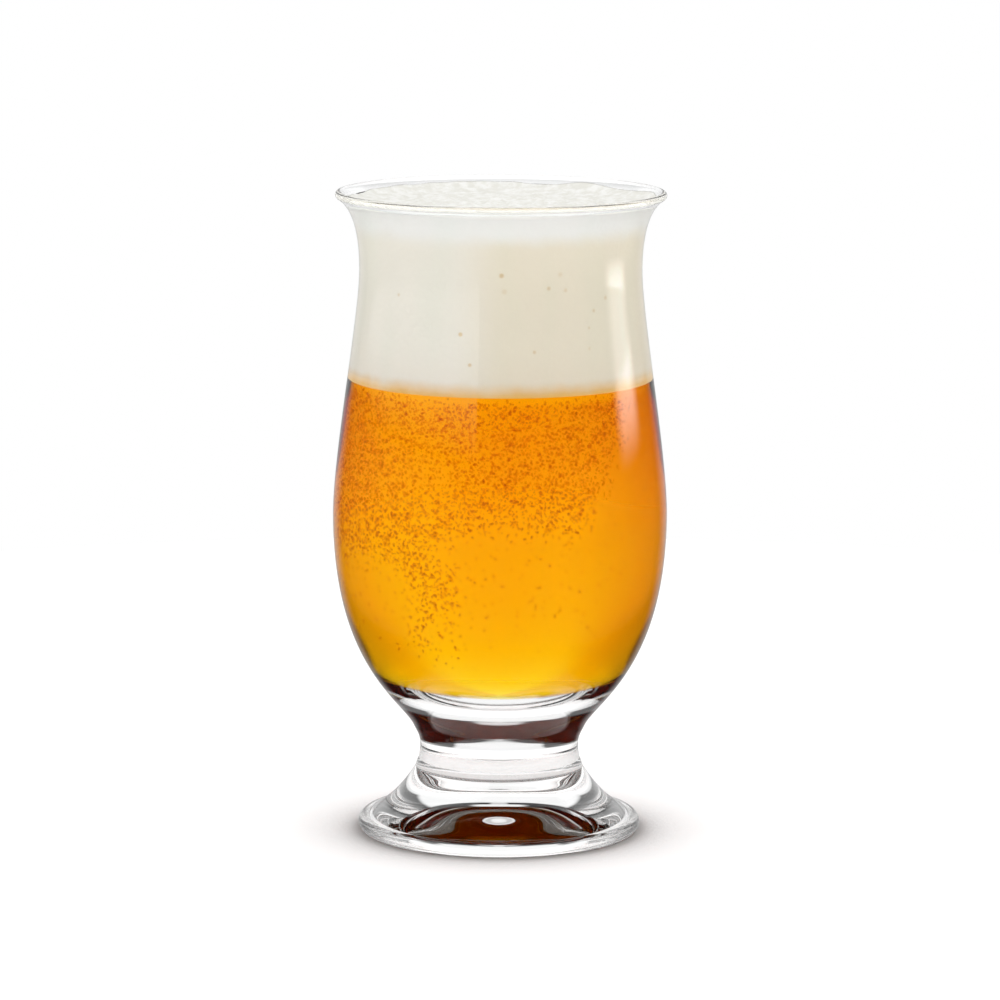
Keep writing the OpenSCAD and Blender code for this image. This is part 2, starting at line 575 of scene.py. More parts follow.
@dataclass(frozen=True)
class GlassCords(Effect):
    """Faint streaks in blown glass, long upright and short across, which tint it hardly visibly.

    Attributes:
        name: The node group's name.
        clear: Tint of clean glass.
        cord: Tint of the strongest streak.
        scale: Streaks per metre across.
        drawn: How much closer they stand across than upright.
        shown: Values of the noise between which a streak comes out.
    """

    name: str = "glass_cords"
    clear: Colour = WHITE
    cord: Colour = (0.985, 0.995, 0.99)
    scale: float = 160.0
    drawn: float = 5.0
    shown: Span = (0.4, 0.7)

    def fill(self, group: bpy.types.NodeTree, board: Board) -> None:
        """Gives the group its one output, Tint.

        Args:
            group: The empty group.
            board: Its nodes.
        """
        group.interface.new_socket("Tint", in_out="OUTPUT", socket_type="NodeSocketColor")
        place = board.add("TexCoord").outputs["Object"]
        drawn = board.add("Mapping", Vector=place, Scale=(1.0, 1.0, 1.0 / self.drawn)).outputs["Vector"]
        streak = board.add("TexNoise", Vector=drawn, Scale=self.scale, Detail=2.0).outputs["Fac"]
        tint = board.blend(board.ramp(streak, *self.shown), rgba(self.clear), rgba(self.cord))
        board.feed(group.nodes.new("NodeGroupOutput").inputs["Tint"], tint)


@dataclass(frozen=True)
class StrayLevel(Effect):
    """Height that a soft noise moves up and down, so that what follows it has no straight edge.

    Attributes:
        name: The node group's name.
    """

    name: str = "stray_level"

    def fill(self, group: bpy.types.NodeTree, board: Board) -> None:
        """Gives the group the inputs Scale, in waves per metre, and Stray, in metres, and the output Level.

        Args:
            group: The empty group.
            board: Its nodes.
        """
        for name in ("Scale", "Stray"):
            group.interface.new_socket(name, in_out="INPUT", socket_type="NodeSocketFloat")
        group.interface.new_socket("Level", in_out="OUTPUT", socket_type="NodeSocketFloat")
        given = group.nodes.new("NodeGroupInput").outputs
        place = board.add("TexCoord").outputs["Object"]
        height = board.add("SeparateXYZ", Vector=place).outputs["Z"]
        cloud = board.add("TexNoise", Vector=place, Scale=given["Scale"], Detail=3.0).outputs["Fac"]
        centred = board.math("MULTIPLY_ADD", cloud, 2.0, -1.0)
        level = board.math("MULTIPLY_ADD", centred, given["Stray"], height)
        board.feed(group.nodes.new("NodeGroupOutput").inputs["Level"], level)


@dataclass(frozen=True)
class ClearGlass:
    """Fire-polished clear glass, towards air or towards what it holds.

    Attributes:
        name: The material's name.
        ior: Index of refraction against what the face touches.
        cords: Its streaks.
    """

    name: str
    ior: float
    cords: GlassCords = GlassCords()

    def material(self) -> bpy.types.Material:
        """Builds the glass.

        Returns:
            The material.
        """
        material, board, shader = new_material(self.name)
        streaks = board.add("Group", {"node_tree": self.cords.group()})
        board.feed(shader.inputs["Base Color"], streaks.outputs["Tint"])
        make_clear(shader, self.ior)
        return material


@dataclass(frozen=True)
class FusedJoint:
    """Face inside the glass where two gathers melted into each other: nothing of it shows.

    Attributes:
        name: The material's name.
    """

    name: str = "fused_joint"

    def material(self) -> bpy.types.Material:
        """Builds a face that light passes unchanged.

        Returns:
            The material.
        """
        material, _, shader = new_material(self.name)
        shader.inputs["Alpha"].default_value = 0.0
        return material


@dataclass(frozen=True)
class AmberBeer:
    """Clear amber liquid that darkens with depth, and under the head partly with a haze of gas and partly
    with painted shade.

    Its skin also carries painted shade at the grazing sides and at the right, and painted light at the left,
    where the haze is thinner.

    Attributes:
        name: The material's name.
        colour: Colour that the absorption tends to.
        density: Absorption per metre.
        ior: Index of refraction of its skin, which the wet glass already takes into account.
        haze: Share of each colour that passes the haziest place of the skin; the haze is partly gas and
            partly painted shade.
        haze_rise: Heights between which the haze grows.
        haze_stray: How far they stray up and down.
        haze_scale: Waves of that straying per metre.
        haze_fall: Heights between which the haze thins out under the head.
        haze_left: Share of it that is left there.
        painted_light_across: Painted light: places across, from left to right, between which the haze comes
            to full strength.
        lit_side_haze_share: Its strength at the left, which is turned to the light.
        brink: Painted shade: share of each colour that passes the skin at a grazing angle.
        brink_from: How far the skin has to turn away for that to start, from 0 to 1.
        brink_to: How far for it to be full, low and high in the bowl.
        brink_heights: The heights that these two are for.
        shade: Painted shade: share of each colour that passes the skin at the right, which is turned from the
            light.
        shade_across: Places across between which the shade grows.
    """

    name: str = "amber_beer"
    colour: Colour = (0.995, 0.9637, 0.0)
    density: float = 400.0
    ior: float = 1.0
    haze: Colour = (0.875, 0.67, 0.55)
    haze_rise: Span = (67.0, 100.0)
    haze_stray: float = 8.0
    haze_scale: float = 90.0
    haze_fall: Span = (107.2, 109.4)
    haze_left: float = 0.3
    painted_light_across: Span = (-14.0, 4.0)
    lit_side_haze_share: float = 0.6
    brink: Colour = (0.89, 0.64, 0.5)
    brink_from: float = 0.04
    brink_to: Span = (0.2, 0.36)
    brink_heights: Span = (44.0, 66.0)
    shade: Colour = (0.86, 0.69, 0.55)
    shade_across: Span = (8.0, 34.0)

    def hazy_share(self, board: Board, where: Any) -> bpy.types.NodeSocket:
        """How hazy the skin is, from 0 to 1.

        Args:
            board: The material's nodes.
            where: Place on the skin, by axis.

        Returns:
            The share.
        """
        # The haze grows higher up: partly a haze of gas, partly painted shade.
        stray = {"Scale": self.haze_scale, "Stray": self.haze_stray * MM}
        level = board.add("Group", {"node_tree": StrayLevel().group()}, **stray).outputs["Level"]
        grown = board.ramp(level, *in_metres(self.haze_rise))
        under_head = board.ramp(where["Z"], *in_metres(self.haze_fall), 1.0, self.haze_left)
        # Painted light: the haze is thinner at the left, which is turned to the light.
        across = board.ramp(where["X"], *in_metres(self.painted_light_across), self.lit_side_haze_share)
        return board.chain("MULTIPLY", grown, under_head, across)

    def painted_side_shade(self, board: Board, where: Any) -> bpy.types.NodeSocket:
        """How much painted shade the sides get, as the skin turns away round the axis, from 0 to 1.

        Args:
            board: The material's nodes.
            where: Place on the skin, by axis.

        Returns:
            The share.
        """
        spoke = board.add("CombineXYZ", X=where["X"], Y=where["Y"]).outputs["Vector"]
        outward = board.vector("NORMALIZE", spoke).outputs["Vector"]
        turned = board.add("LayerWeight", Blend=0.5, Normal=outward).outputs["Facing"]
        full = board.ramp(where["Z"], *in_metres(self.brink_heights), *self.brink_to)
        return board.ramp(turned, self.brink_from, full)

    def material(self) -> bpy.types.Material:
        """Builds the liquid: a clear skin round a body that absorbs.

        Returns:
            The material.
        """
        material, board, shader = new_material(self.name)
        where = board.add("SeparateXYZ", Vector=board.add("TexCoord").outputs["Object"]).outputs
        # Painted shade on the skin: darker at the right, which is turned from the light, and at the grazing
        # sides.
        turned = board.ramp(where["X"], *in_metres(self.shade_across))
        tint = board.blend(turned, rgba(WHITE), rgba(self.shade))
        for share, passed in (
            (self.hazy_share(board, where), self.haze),
            (self.painted_side_shade(board, where), self.brink),
        ):
            tint = board.blend(share, tint, rgba(passed), "MULTIPLY")
        board.feed(shader.inputs["Base Color"], tint)
        make_clear(shader, self.ior)
        body = board.add("VolumeAbsorption", Color=rgba(self.colour), Density=self.density)
        out = shader.outputs["BSDF"].links[0].to_node
        board.feed(out.inputs["Volume"], body.outputs["Volume"])
        return material


@dataclass(frozen=True)
class BubbleSkin:
    """Gas bubbles in the beer, with painted shade: their clear skin is tinted, so that they show as small
    dark amber specks where real bubbles turn part of the light aside.

    Attributes:
        name: The material's name.
        ior: Index of refraction of the skin, which only tints.
        faint: Share of each colour that passes the skin of the lightest bubbles.
        strong: Share of each colour that passes the skin of the darkest bubbles.
        scale: Changes between light and dark per metre.
        shown: Values of the noise between which a bubble goes from light to dark.
    """

    name: str = "bubble_skin"
    ior: float = 1.0
    faint: Colour = (0.93, 0.83, 0.65)
    strong: Colour = (0.83, 0.65, 0.49)
    scale: float = 700.0
    shown: Span = (0.35, 0.65)

    def material(self) -> bpy.types.Material:
        """Builds the skin of the bubbles.

        Returns:
            The material.
        """
        material, board, shader = new_material(self.name)
        place = board.add("TexCoord").outputs["Object"]
        grain = board.add("TexNoise", Vector=place, Scale=self.scale, Detail=0.0).outputs["Fac"]
        # Painted shade: a tint from light to dark amber stands in for the light that the bubbles turn aside.
        tint = board.blend(board.ramp(grain, *self.shown), rgba(self.faint), rgba(self.strong))
        board.feed(shader.inputs["Base Color"], tint)
        make_clear(shader, self.ior)
        return material


@dataclass(frozen=True)
class Mark:
    """One coarse bubble that lies against the glass and shows as a soft tan spot.

    Attributes:
        azimuth: Degrees from the camera's side, positive to the right.
        height: Above the floor.
        radius: Of the spot.
        depth: How strong it shows, from 0 to 1.
    """

    azimuth: float
    height: float
    radius: float
    depth: float

    def place(self, wall_r: float) -> tuple[float, float, float]:
        """Its middle on a wall of that radius, in metres."""
        angle = math.radians(self.azimuth)
        return (wall_r * math.sin(angle) * MM, -wall_r * math.cos(angle) * MM, self.height * MM)


COARSE_BUBBLES = (
    Mark(0.3, 138.5, 0.8, 0.9),
    Mark(20.0, 135.3, 0.7, 0.6),
    Mark(-16.2, 124.6, 0.7, 0.9),
    Mark(13.4, 120.6, 0.6, 0.6),
    Mark(-12.0, 117.6, 0.6, 0.8),
    Mark(1.5, 134.7, 0.9, 0.3),
    Mark(48.0, 132.1, 0.7, 0.5),
    Mark(41.0, 129.4, 0.6, 0.5),
    Mark(38.0, 125.5, 0.5, 0.4),
    Mark(37.5, 120.7, 0.6, 0.3),
    Mark(-46.5, 132.7, 0.6, 0.4),
    Mark(25.0, 138.5, 0.8, 0.3),
    Mark(27.5, 134.7, 0.7, 0.4),
)


@dataclass(frozen=True)
class FineFoam:
    """Head of fine foam: cream at the side, whiter at its dry top, wet and amber at its lower edge.

    It carries painted light at the left and partly at the top, painted shade where it is seen by way of many
    mirrorings in the glass, and a painted glow on its brink.

    Attributes:
        name: The material's name.
        roughness: Its roughness.
        side: Colour of the foam against the glass.
        pale: Painted light: the same, lighter, at the left, which is turned to the light.
        painted_light_across: Places across between which pale goes over into side.
        top: Colour of the top, whiter partly as drier foam and partly as painted light from above.
        dry_and_lit_depths: Depths under the top at which that whiter colour starts and is in full.
        wet: Colour of the lower edge, where beer stands between the bubbles.
        soaked: Heights over the underside between which the wet edge dries.
        stray: How far the dry and the wet edge stray up and down.
        stray_scale: Waves of that straying per metre.
        pit: Colour of a coarse bubble.
        pit_core: Share of its radius in which it shows fully.
        crown: Colour of the open top, between its lumps.
        crown_scale: Changes of that colour per metre.
        crown_shown: Values of the noise between which it goes over into top.
        crown_up: How far a face points up where the open top starts, and where it is in full.
        painted_dark: Painted shade: dark colour where it is seen only by way of many mirrorings inside the
            glass.
        painted_dark_depths: Two depths under the top.
        painted_dark_after: Mirrorings at these depths after which the painted shade takes over.
        glow: Painted light: strength of a glow on its brink, in place of light that shines through it from
            behind.
        glow_turned: How far a face turns away where the glow starts, and where it is in full.
        glow_up: How far a face points up where the glow starts to end, and where it has ended.
        cell_scale: Fine bubbles per metre.
        cell_soft: How softly they meet.
        cell_depth: Depth of their relief.
        cell_strength: Share of it that shows.
    """

    name: str = "beer_foam"
    roughness: float = 0.9
    side: Colour = (0.938, 0.87, 0.722)
    pale: Colour = (0.952, 0.918, 0.825)
    painted_light_across: Span = (-12.0, 2.0)
    top: Colour = (0.985, 0.982, 0.95)
    dry_and_lit_depths: Span = (9.5, 4.5)
    wet: Colour = (0.88, 0.52, 0.12)
    soaked: Span = (-0.6, 3.9)
    stray: float = 1.2
    stray_scale: float = 160.0
    pit: Colour = (0.78, 0.62, 0.38)
    pit_core: float = 0.35
    crown: Colour = (0.86, 0.85, 0.79)
    crown_scale: float = 420.0
    crown_shown: Span = (0.35, 0.68)
    crown_up: Span = (0.3, 0.7)
    painted_dark: Colour = (0.12, 0.1, 0.085)
    painted_dark_depths: Span = (32.0, 26.0)
    painted_dark_after: Span = (3.5, 4.5)
    glow: float = 0.21
    glow_turned: Span = (0.15, 0.42)
    glow_up: Span = (0.1, 0.3)
    cell_scale: float = 900.0
    cell_soft: float = 0.6
    cell_depth: float = 0.4
    cell_strength: float = 0.25

    def pits(self, board: Board, place: bpy.types.NodeSocket, shape: "GlassShape") -> bpy.types.NodeSocket:
        """How much of a coarse bubble shows, from 0 to 1.

        Args:
            board: The material's nodes.
            place: Place on the foam.
            shape: The glass that it stands in.

        Returns:
            The share.
        """
        spots = []
        for mark in COARSE_BUBBLES:
            middle = mark.place(float(shape.inner_radius(np.array(mark.height))))
            gap = board.vector("DISTANCE", place, middle).outputs["Value"]
            reach = in_metres((self.pit_core * mark.radius, mark.radius))
            spots.append(board.ramp(gap, *reach, mark.depth, 0.0))
        return board.chain("MAXIMUM", *spots)

    def wall_colour(
        self, board: Board, place: bpy.types.NodeSocket, low: float, high: float, shape: "GlassShape"
    ) -> bpy.types.NodeSocket:
        """Colour of the foam against the glass.

        Args:
            board: The material's nodes.
            place: Place on the foam.
            low: Height of its underside.
            high: Height of its top.
            shape: The glass that it stands in.

        Returns:
            The colour.
        """
        stray = {"Scale": self.stray_scale, "Stray": self.stray * MM}
        level = board.add("Group", {"node_tree": StrayLevel().group()}, **stray).outputs["Level"]
        # Painted light: lighter at the left, which is turned to the light.
        across = board.add("SeparateXYZ", Vector=place).outputs["X"]
        turned = board.ramp(across, *in_metres(self.painted_light_across))
        cream = board.blend(turned, rgba(self.pale), rgba(self.side))
        # Whiter towards the top: partly drier foam, partly painted light from above.
        dry = board.ramp(level, *in_metres(high - depth for depth in self.dry_and_lit_depths))
        drying_and_lit = board.blend(dry, cream, rgba(self.top))
        spotted = board.blend(self.pits(board, place, shape), drying_and_lit, rgba(self.pit))
        soak = board.ramp(level, *in_metres(low + rise for rise in self.soaked), 1.0, 0.0)
        return board.blend(soak, spotted, rgba(self.wet))

    def material(self, low: float, high: float, shape: "GlassShape") -> bpy.types.Material:
        """Builds the foam.

        Args:
            low: Height of its underside.
            high: Height of its top.
            shape: The glass that it stands in.

        Returns:
            The material.
        """
        material, board, shader = new_material(self.name)
        place = board.add("TexCoord").outputs["Object"]
        height = board.add("SeparateXYZ", Vector=place).outputs["Z"]
        pointing_up = board.add("SeparateXYZ", Vector=board.add("NewGeometry").outputs["Normal"]).outputs["Z"]
        mottle = board.add("TexNoise", Vector=place, Scale=self.crown_scale, Detail=3.0, Roughness=0.6)
        shown = board.ramp(mottle.outputs["Fac"], *self.crown_shown)
        crown = board.blend(shown, rgba(self.crown), rgba(self.top))
        wall = self.wall_colour(board, place, low, high, shape)
        whole = board.blend(board.ramp(pointing_up, *self.crown_up), wall, crown)

        # Seen directly, the foam takes painted shade after many mirrorings, and elsewhere its brink gets a
        # painted glow.
        rays = board.add("LightPath").outputs
        direct = board.math("SUBTRACT", 1.0, board.scattered(rays))
        most = board.ramp(height, *in_metres(high - depth for depth in self.painted_dark_depths), *self.painted_dark_after)
        painted_dark_share = board.math("MULTIPLY", board.math("GREATER_THAN", rays["Ray Depth"], most), direct)
        board.feed(shader.inputs["Base Color"], board.blend(painted_dark_share, whole, rgba(self.painted_dark)))
        shader.inputs["Roughness"].default_value = self.roughness
        # Painted light: a glow on the brink where the face turns away, standing in for light from behind.
        turned = board.add("LayerWeight", Blend=0.5).outputs["Facing"]
        brink = board.ramp(turned, *self.glow_turned, 0.0, self.glow)
        upright = board.ramp(pointing_up, *self.glow_up, 1.0, 0.0)
        not_painted_dark = board.math("SUBTRACT", 1.0, painted_dark_share)
        shader.inputs["Emission Color"].default_value = rgba(self.side)
        glow = board.chain("MULTIPLY", brink, upright, direct, not_painted_dark)
        board.feed(shader.inputs["Emission Strength"], glow)

        pattern = {"Scale": self.cell_scale, "Smoothness": self.cell_soft}
        cells = board.add("TexVoronoi", {"feature": "SMOOTH_F1"}, Vector=place, **pattern)
        relief = cells.outputs["Distance"]
        bump = board.add("Bump", Height=relief, Strength=self.cell_strength, Distance=self.cell_depth * MM)
        board.feed(shader.inputs["Normal"], bump.outputs["Normal"])
        return material


@dataclass(frozen=True)
class GlassShape:
    """Sizes of the three gathers of glass, and the outlines that follow from them.

    A share says how far a curve's handle reaches, measured by the stretch that the curve spans. A slope is
    given in degrees.

    Attributes:
        foot_d: Diameter of the foot.
        foot_h: Height of the foot.
        foot_edge_r: Radius of its rounded edge.
        foot_edge_slope: Slope of its upper face at the edge.
        foot_hub_slope: How far the upper face leans from upright at the hub.
        hub_h: Height of the hub ring.
        hub_spread: How much wider the hub ring is below.
        hub_swell: How far its side swells out.
        stand_ring_w: Width of the flat ring that the glass stands on.
        ring_step_w: Width of the step inside that ring.
        ring_step_h: Height of the step.
        hollow_h: Height of the hollow under the foot.
        waist_d: Diameter of the waist.
        stem_h: Height of the stem.
        waist_rise: Height of the waist above the foot.
        stem_low_spread: How much wider than the waist the stem starts, in radius.
        stem_top_spread: How much wider it ends, in radius.
        root_slope: How far the bowl leans out from upright at its root.
        belly_d: Diameter of the belly.
        belly_rise: Height of the belly above the stem.
        neck_d: Diameter of the neck.
        neck_rise: Height of the neck above the belly.
        rim_d: Diameter of the rim.
        flare_h: Height of the rim above the neck.
        lip_t: Thickness of the lip.
        lip_slope: How far the flare leans out from upright at the lip.
        neck_wall: Thickness of the wall at the neck.
        belly_wall: Thickness of the wall at the belly.
        floor_t: Thickness of the floor of the bowl.
        foot_edge_share: Handle of the foot's upper face at the edge.
        foot_hub_share: Handle of that face at the hub.
        hollow_top_share: Handle of the hollow at its top.
        hollow_skirt_share: Handle of the hollow at its skirt.
        stem_share: Handles of the stem's side.
        root_share: Handle of the bowl at its root.
        belly_low_share: Handle of the bowl under the belly.
        belly_high_share: Handle of the bowl over the belly.
        neck_low_share: Handle of the bowl under the neck.
        neck_high_share: Handle of the bowl over the neck.
        lip_share: Handle of the flare at the lip.
        floor_share: Handle of the inside at the middle of its floor.
        floor_side_share: Handle of the inside under the belly.
        curve_steps: Steps along a curve.
        edge_steps: Steps along a rounded edge.
        segments: Vertices in each ring.
    """

    foot_d: float = 68.0
    foot_h: float = 17.6
    foot_edge_r: float = 2.0
    foot_edge_slope: float = 16.6
    foot_hub_slope: float = 30.9
    hub_h: float = 2.1
    hub_spread: float = 0.8
    hub_swell: float = 0.1
    stand_ring_w: float = 1.9
    ring_step_w: float = 1.0
    ring_step_h: float = 0.4
    hollow_h: float = 3.5
    waist_d: float = 38.2
    stem_h: float = 8.4
    waist_rise: float = 3.2
    stem_low_spread: float = 0.3
    stem_top_spread: float = 1.7
    root_slope: float = 26.1
    belly_d: float = 80.2
    belly_rise: float = 51.2
    neck_d: float = 67.5
    neck_rise: float = 58.9
    rim_d: float = 79.0
    flare_h: float = 18.9
    lip_t: float = 1.8
    lip_slope: float = 58.0
    neck_wall: float = 1.7
    belly_wall: float = 2.0
    floor_t: float = 9.9
    foot_edge_share: float = 0.372
    foot_hub_share: float = 0.175
    hollow_top_share: float = 0.416
    hollow_skirt_share: float = 0.562
    stem_share: float = 0.451
    root_share: float = 0.136
    belly_low_share: float = 0.714
    belly_high_share: float = 0.24
    neck_low_share: float = 0.18
    neck_high_share: float = 0.43
    lip_share: float = 0.25
    floor_share: float = 0.835
    floor_side_share: float = 0.536
    curve_steps: int = 36
    edge_steps: int = 16
    segments: int = 288

    @property
    def bowl_z(self) -> float:
        """Height of the joint between stem and bowl."""
        return self.foot_h + self.stem_h

    @property
    def floor_z(self) -> float:
        """Height of the floor inside the bowl."""
        return self.bowl_z + self.floor_t

    @property
    def belly(self) -> np.ndarray:
        """Outermost point of the bowl."""
        return np.array([self.belly_d / 2, self.bowl_z + self.belly_rise])

    @property
    def neck(self) -> np.ndarray:
        """Narrowest point under the rim."""
        return np.array([self.neck_d / 2, self.belly[1] + self.neck_rise])

    @property
    def hub_top(self) -> np.ndarray:
        """Where the hub ring meets the stem."""
        return np.array([self.waist_d / 2 + self.stem_low_spread, self.foot_h])

    @property
    def root(self) -> np.ndarray:
        """Where the stem passes into the bowl."""
        return np.array([self.waist_d / 2 + self.stem_top_spread, self.bowl_z])

    def lip(self) -> Stretch:
        """Rounded lip, from the outer face over to the inner one.

        Returns:
            The stretch.
        """
        radius = self.lip_t / 2
        centre = np.array([self.rim_d / 2 - radius, self.neck[1] + self.flare_h - radius])
        return arc(centre, radius, -self.lip_slope, 180 - self.lip_slope, self.edge_steps)

    def wall(self, belly: np.ndarray, neck: np.ndarray, lip: np.ndarray) -> list[Stretch]:
        """Upper wall of the bowl, as the outer and the inner face both run.

        Args:
            belly: Point at the belly.
            neck: Point at the neck.
            lip: Point at the lip.

        Returns:
            The stretches from belly to neck and from neck to lip.
        """
        upper = cubic(
            belly,
            belly + self.belly_high_share * self.neck_rise * UP,
            neck - self.neck_low_share * self.neck_rise * UP,
            neck,
            self.curve_steps,
        )
        flare = cubic(
            neck,
            neck + self.neck_high_share * self.flare_h * UP,
            lip - self.lip_share * self.flare_h * leaning(self.lip_slope),
            lip,
            self.curve_steps,
        )
        return [upper, flare]

    def inner_line(self) -> list[Stretch]:
        """Inside of the bowl, from the middle of its floor to the lip.

        Returns:
            The stretches up to the belly, the neck and the lip.
        """
        middle = np.array([0.0, self.floor_z])
        belly = self.belly - self.belly_wall * OUTWARD
        low = cubic(
            middle,
            middle + self.floor_share * belly[0] * OUTWARD,
            belly - self.floor_side_share * (belly[1] - self.floor_z) * UP,
            belly,
            self.curve_steps,
        )
        return [low] + self.wall(belly, self.neck - self.neck_wall * OUTWARD, self.lip().points[-1])

    def inner_radius(self, height: np.ndarray) -> np.ndarray:
        """Radius of the inside of the bowl at each height."""
        line = np.concatenate([part.points for part in self.inner_line()])
        return np.interp(height, line[:, 1], line[:, 0])

    def foot_outline(self) -> list[Stretch]:
        """Foot: bell-shaped hollow, step, stand ring, rounded edge, swept upper face, hub ring, joint.

        Returns:
            The stretches, in this order.
        """
        edge_x = self.foot_d / 2 - self.foot_edge_r
        ring_r = edge_x - self.stand_ring_w
        top = np.array([0.0, self.hollow_h])
        skirt = np.array([ring_r - self.ring_step_w, self.ring_step_h])
        hollow = cubic(
            top,
            top + self.hollow_top_share * skirt[0] * OUTWARD,
            skirt - self.hollow_skirt_share * skirt[0] * OUTWARD,
            skirt,
            self.curve_steps,
        )
        ring = np.array([ring_r, 0.0])
        middle = np.array([edge_x, self.foot_edge_r])
        edge = arc(middle, self.foot_edge_r, -90, 90 - self.foot_edge_slope, self.edge_steps)
        start = edge.points[-1]
        hub_low = np.array([self.hub_top[0] + self.hub_spread, self.foot_h - self.hub_h])
        reach = np.linalg.norm(hub_low - start)
        slope = math.radians(self.foot_edge_slope)
        inward = np.array([-math.cos(slope), math.sin(slope)])
        face = cubic(
            start,
            start + self.foot_edge_share * reach * inward,
            hub_low - self.foot_hub_share * reach * leaning(-self.foot_hub_slope),
            hub_low,
            self.curve_steps,
        )
        # Two handles moved out by 4/3 of the swell move the middle of the curve out by the swell.
        swell = 4.0 / 3.0 * self.hub_swell * OUTWARD
        third = (self.hub_top - hub_low) / 3.0
        handles = (hub_low + third + swell, self.hub_top - third + swell)
        hub = cubic(hub_low, *handles, self.hub_top, self.edge_steps)
        joint = straight(self.hub_top, np.array([0.0, self.foot_h]), zone=Zone.JOINT)
        return [hollow, straight(skirt, ring, 2), straight(ring, edge.points[0], 2), edge, face, hub, joint]

    def stem_outline(self) -> list[Stretch]:
        """Stem: joint, in to the waist, out to the root of the bowl, joint.

        Returns:
            The stretches, in this order.
        """
        waist = np.array([self.waist_d / 2, self.foot_h + self.waist_rise])
        rise = self.bowl_z - waist[1]
        low = cubic(
            self.hub_top,
            self.hub_top + self.stem_share * np.array([-self.stem_low_spread, self.waist_rise]),
            waist - self.stem_share * self.waist_rise * UP,
            waist,
            self.curve_steps,
        )
        high = cubic(
            waist,
            waist + self.stem_share * rise * UP,
            self.root - self.stem_share * rise * leaning(self.root_slope),
            self.root,
            self.curve_steps,
        )
        bottom = straight(np.array([0.0, self.foot_h]), self.hub_top, zone=Zone.JOINT)
        return [bottom, low, high, straight(self.root, np.array([0.0, self.bowl_z]), zone=Zone.JOINT)]

    def bowl_outline(self, beer_z: float, foam_z: float) -> list[Stretch]:
        """Bowl: joint, root, belly, neck, flare, lip and back down the inside to the floor.

        Args:
            beer_z: Height up to which beer wets the inside.
            foam_z: Height up to which foam clings to it.

        Returns:
            The stretches, with what touches the inside marked.
        """
        joint = straight(np.array([0.0, self.bowl_z]), self.root, zone=Zone.JOINT)
        low = cubic(
            self.root,
            self.root + self.root_share * self.belly_rise * leaning(self.root_slope),
            self.belly - self.belly_low_share * self.belly_rise * UP,
            self.belly,
            self.curve_steps * 2,
        )
        lip = self.lip()
        outer = [low] + self.wall(self.belly, self.neck, lip.points[0])
        low_in, high_in, flare_in = self.inner_line()
        foamy, dry = flare_in.split(foam_z, Zone.FOAMY, Zone.DRY)
        wet, foamy_low = high_in.split(beer_z, Zone.WET, Zone.FOAMY)
        floor = Stretch(low_in.points, low_in.tangents, Zone.WET)
        return [joint] + outer + [lip] + [part.reversed() for part in (dry, foamy, foamy_low, wet, floor)]


@dataclass(frozen=True)
class Glass:
    """The glass itself: foot, stem and bowl, each a closed gather, fused at hidden joint faces.

    Attributes:
        shape: Its sizes and outlines.
        beer_z: Height up to which beer wets the inside.
        foam_z: Height up to which foam clings to it.
        air: Finish towards air.
        liquid: Finish towards beer.
        joint: Finish of the joint faces.
        foam: Finish towards foam.
    """

    shape: GlassShape
    beer_z: float
    foam_z: float
    air: ClearGlass = ClearGlass("clear_glass", 1.5)
    liquid: ClearGlass = ClearGlass("clear_glass_wet", 1.12)
    joint: FusedJoint = FusedJoint()
    foam: ClearGlass = ClearGlass("clear_glass_foamy", 1.02)

    def build(self) -> list[bpy.types.Object]:
        """Builds and dresses the three gathers.

        Returns:
            The pieces.
        """
        finishes = [finish.material() for finish in (self.air, self.liquid, self.joint, self.foam)]
        outlines = {
            "foot": self.shape.foot_outline(),
            "stem": self.shape.stem_outline(),
            "bowl": self.shape.bowl_outline(self.beer_z, self.foam_z),
        }
        pieces = []
        for node, outline in outlines.items():
            mesh = turned_mesh("glass_" + node, outline, self.shape.segments)
            for finish in finishes:
                mesh.materials.append(finish)
            pieces.append(new_piece(mesh, [node]))
        return pieces


@dataclass(frozen=True)
class Beer:
    """The beer: one clear body that fills the bowl up to the head.

    Attributes:
        shape: The glass.
        top_z: Height of the beer.
        film: Gap to the glass and to the foam.
        same: Distance within which two points of the outline count as one.
        segments: Vertices in each ring.
        finish: Its finish.
    """

    shape: GlassShape
    top_z: float
    film: float = 0.02
    same: float = 1e-6
    segments: int = 192
    finish: AmberBeer = AmberBeer()

    def build(self) -> list[bpy.types.Object]:
        """Builds and dresses the liquid.

        Returns:
            The piece.
        """
        line = self.shape.inner_line()
        points = np.concatenate([part.points for part in line])
        tangents = np.concatenate([part.tangents for part in line])
        tangents = tangents / np.linalg.norm(tangents, axis=1, keepdims=True)
        skin = points + self.film * np.stack([-tangents[:, 1], tangents[:, 0]], axis=1)
        skin[:, 0] = np.maximum(skin[:, 0], 0.0)
        under = skin[:, 1] < self.top_z - 2 * self.film
        skin, tangents = skin[under], tangents[under]
        edge = np.array([self.shape.inner_radius(self.top_z) - self.film, self.top_z - self.film])
        side = Stretch(np.concatenate([skin, [edge]]), np.concatenate([tangents, tangents[-1:]]))
        steps = np.linalg.norm(np.diff(side.points, axis=0), axis=1)
        side = side.cut(np.concatenate([[True], steps > self.same]), Zone.DRY)
        cover = straight(edge, np.array([0.0, edge[1]]), 3)
        mesh = turned_mesh("beer_body", [side, cover], self.segments)
        mesh.materials.append(self.finish.material())
        return [new_piece(mesh, ["beer"])]


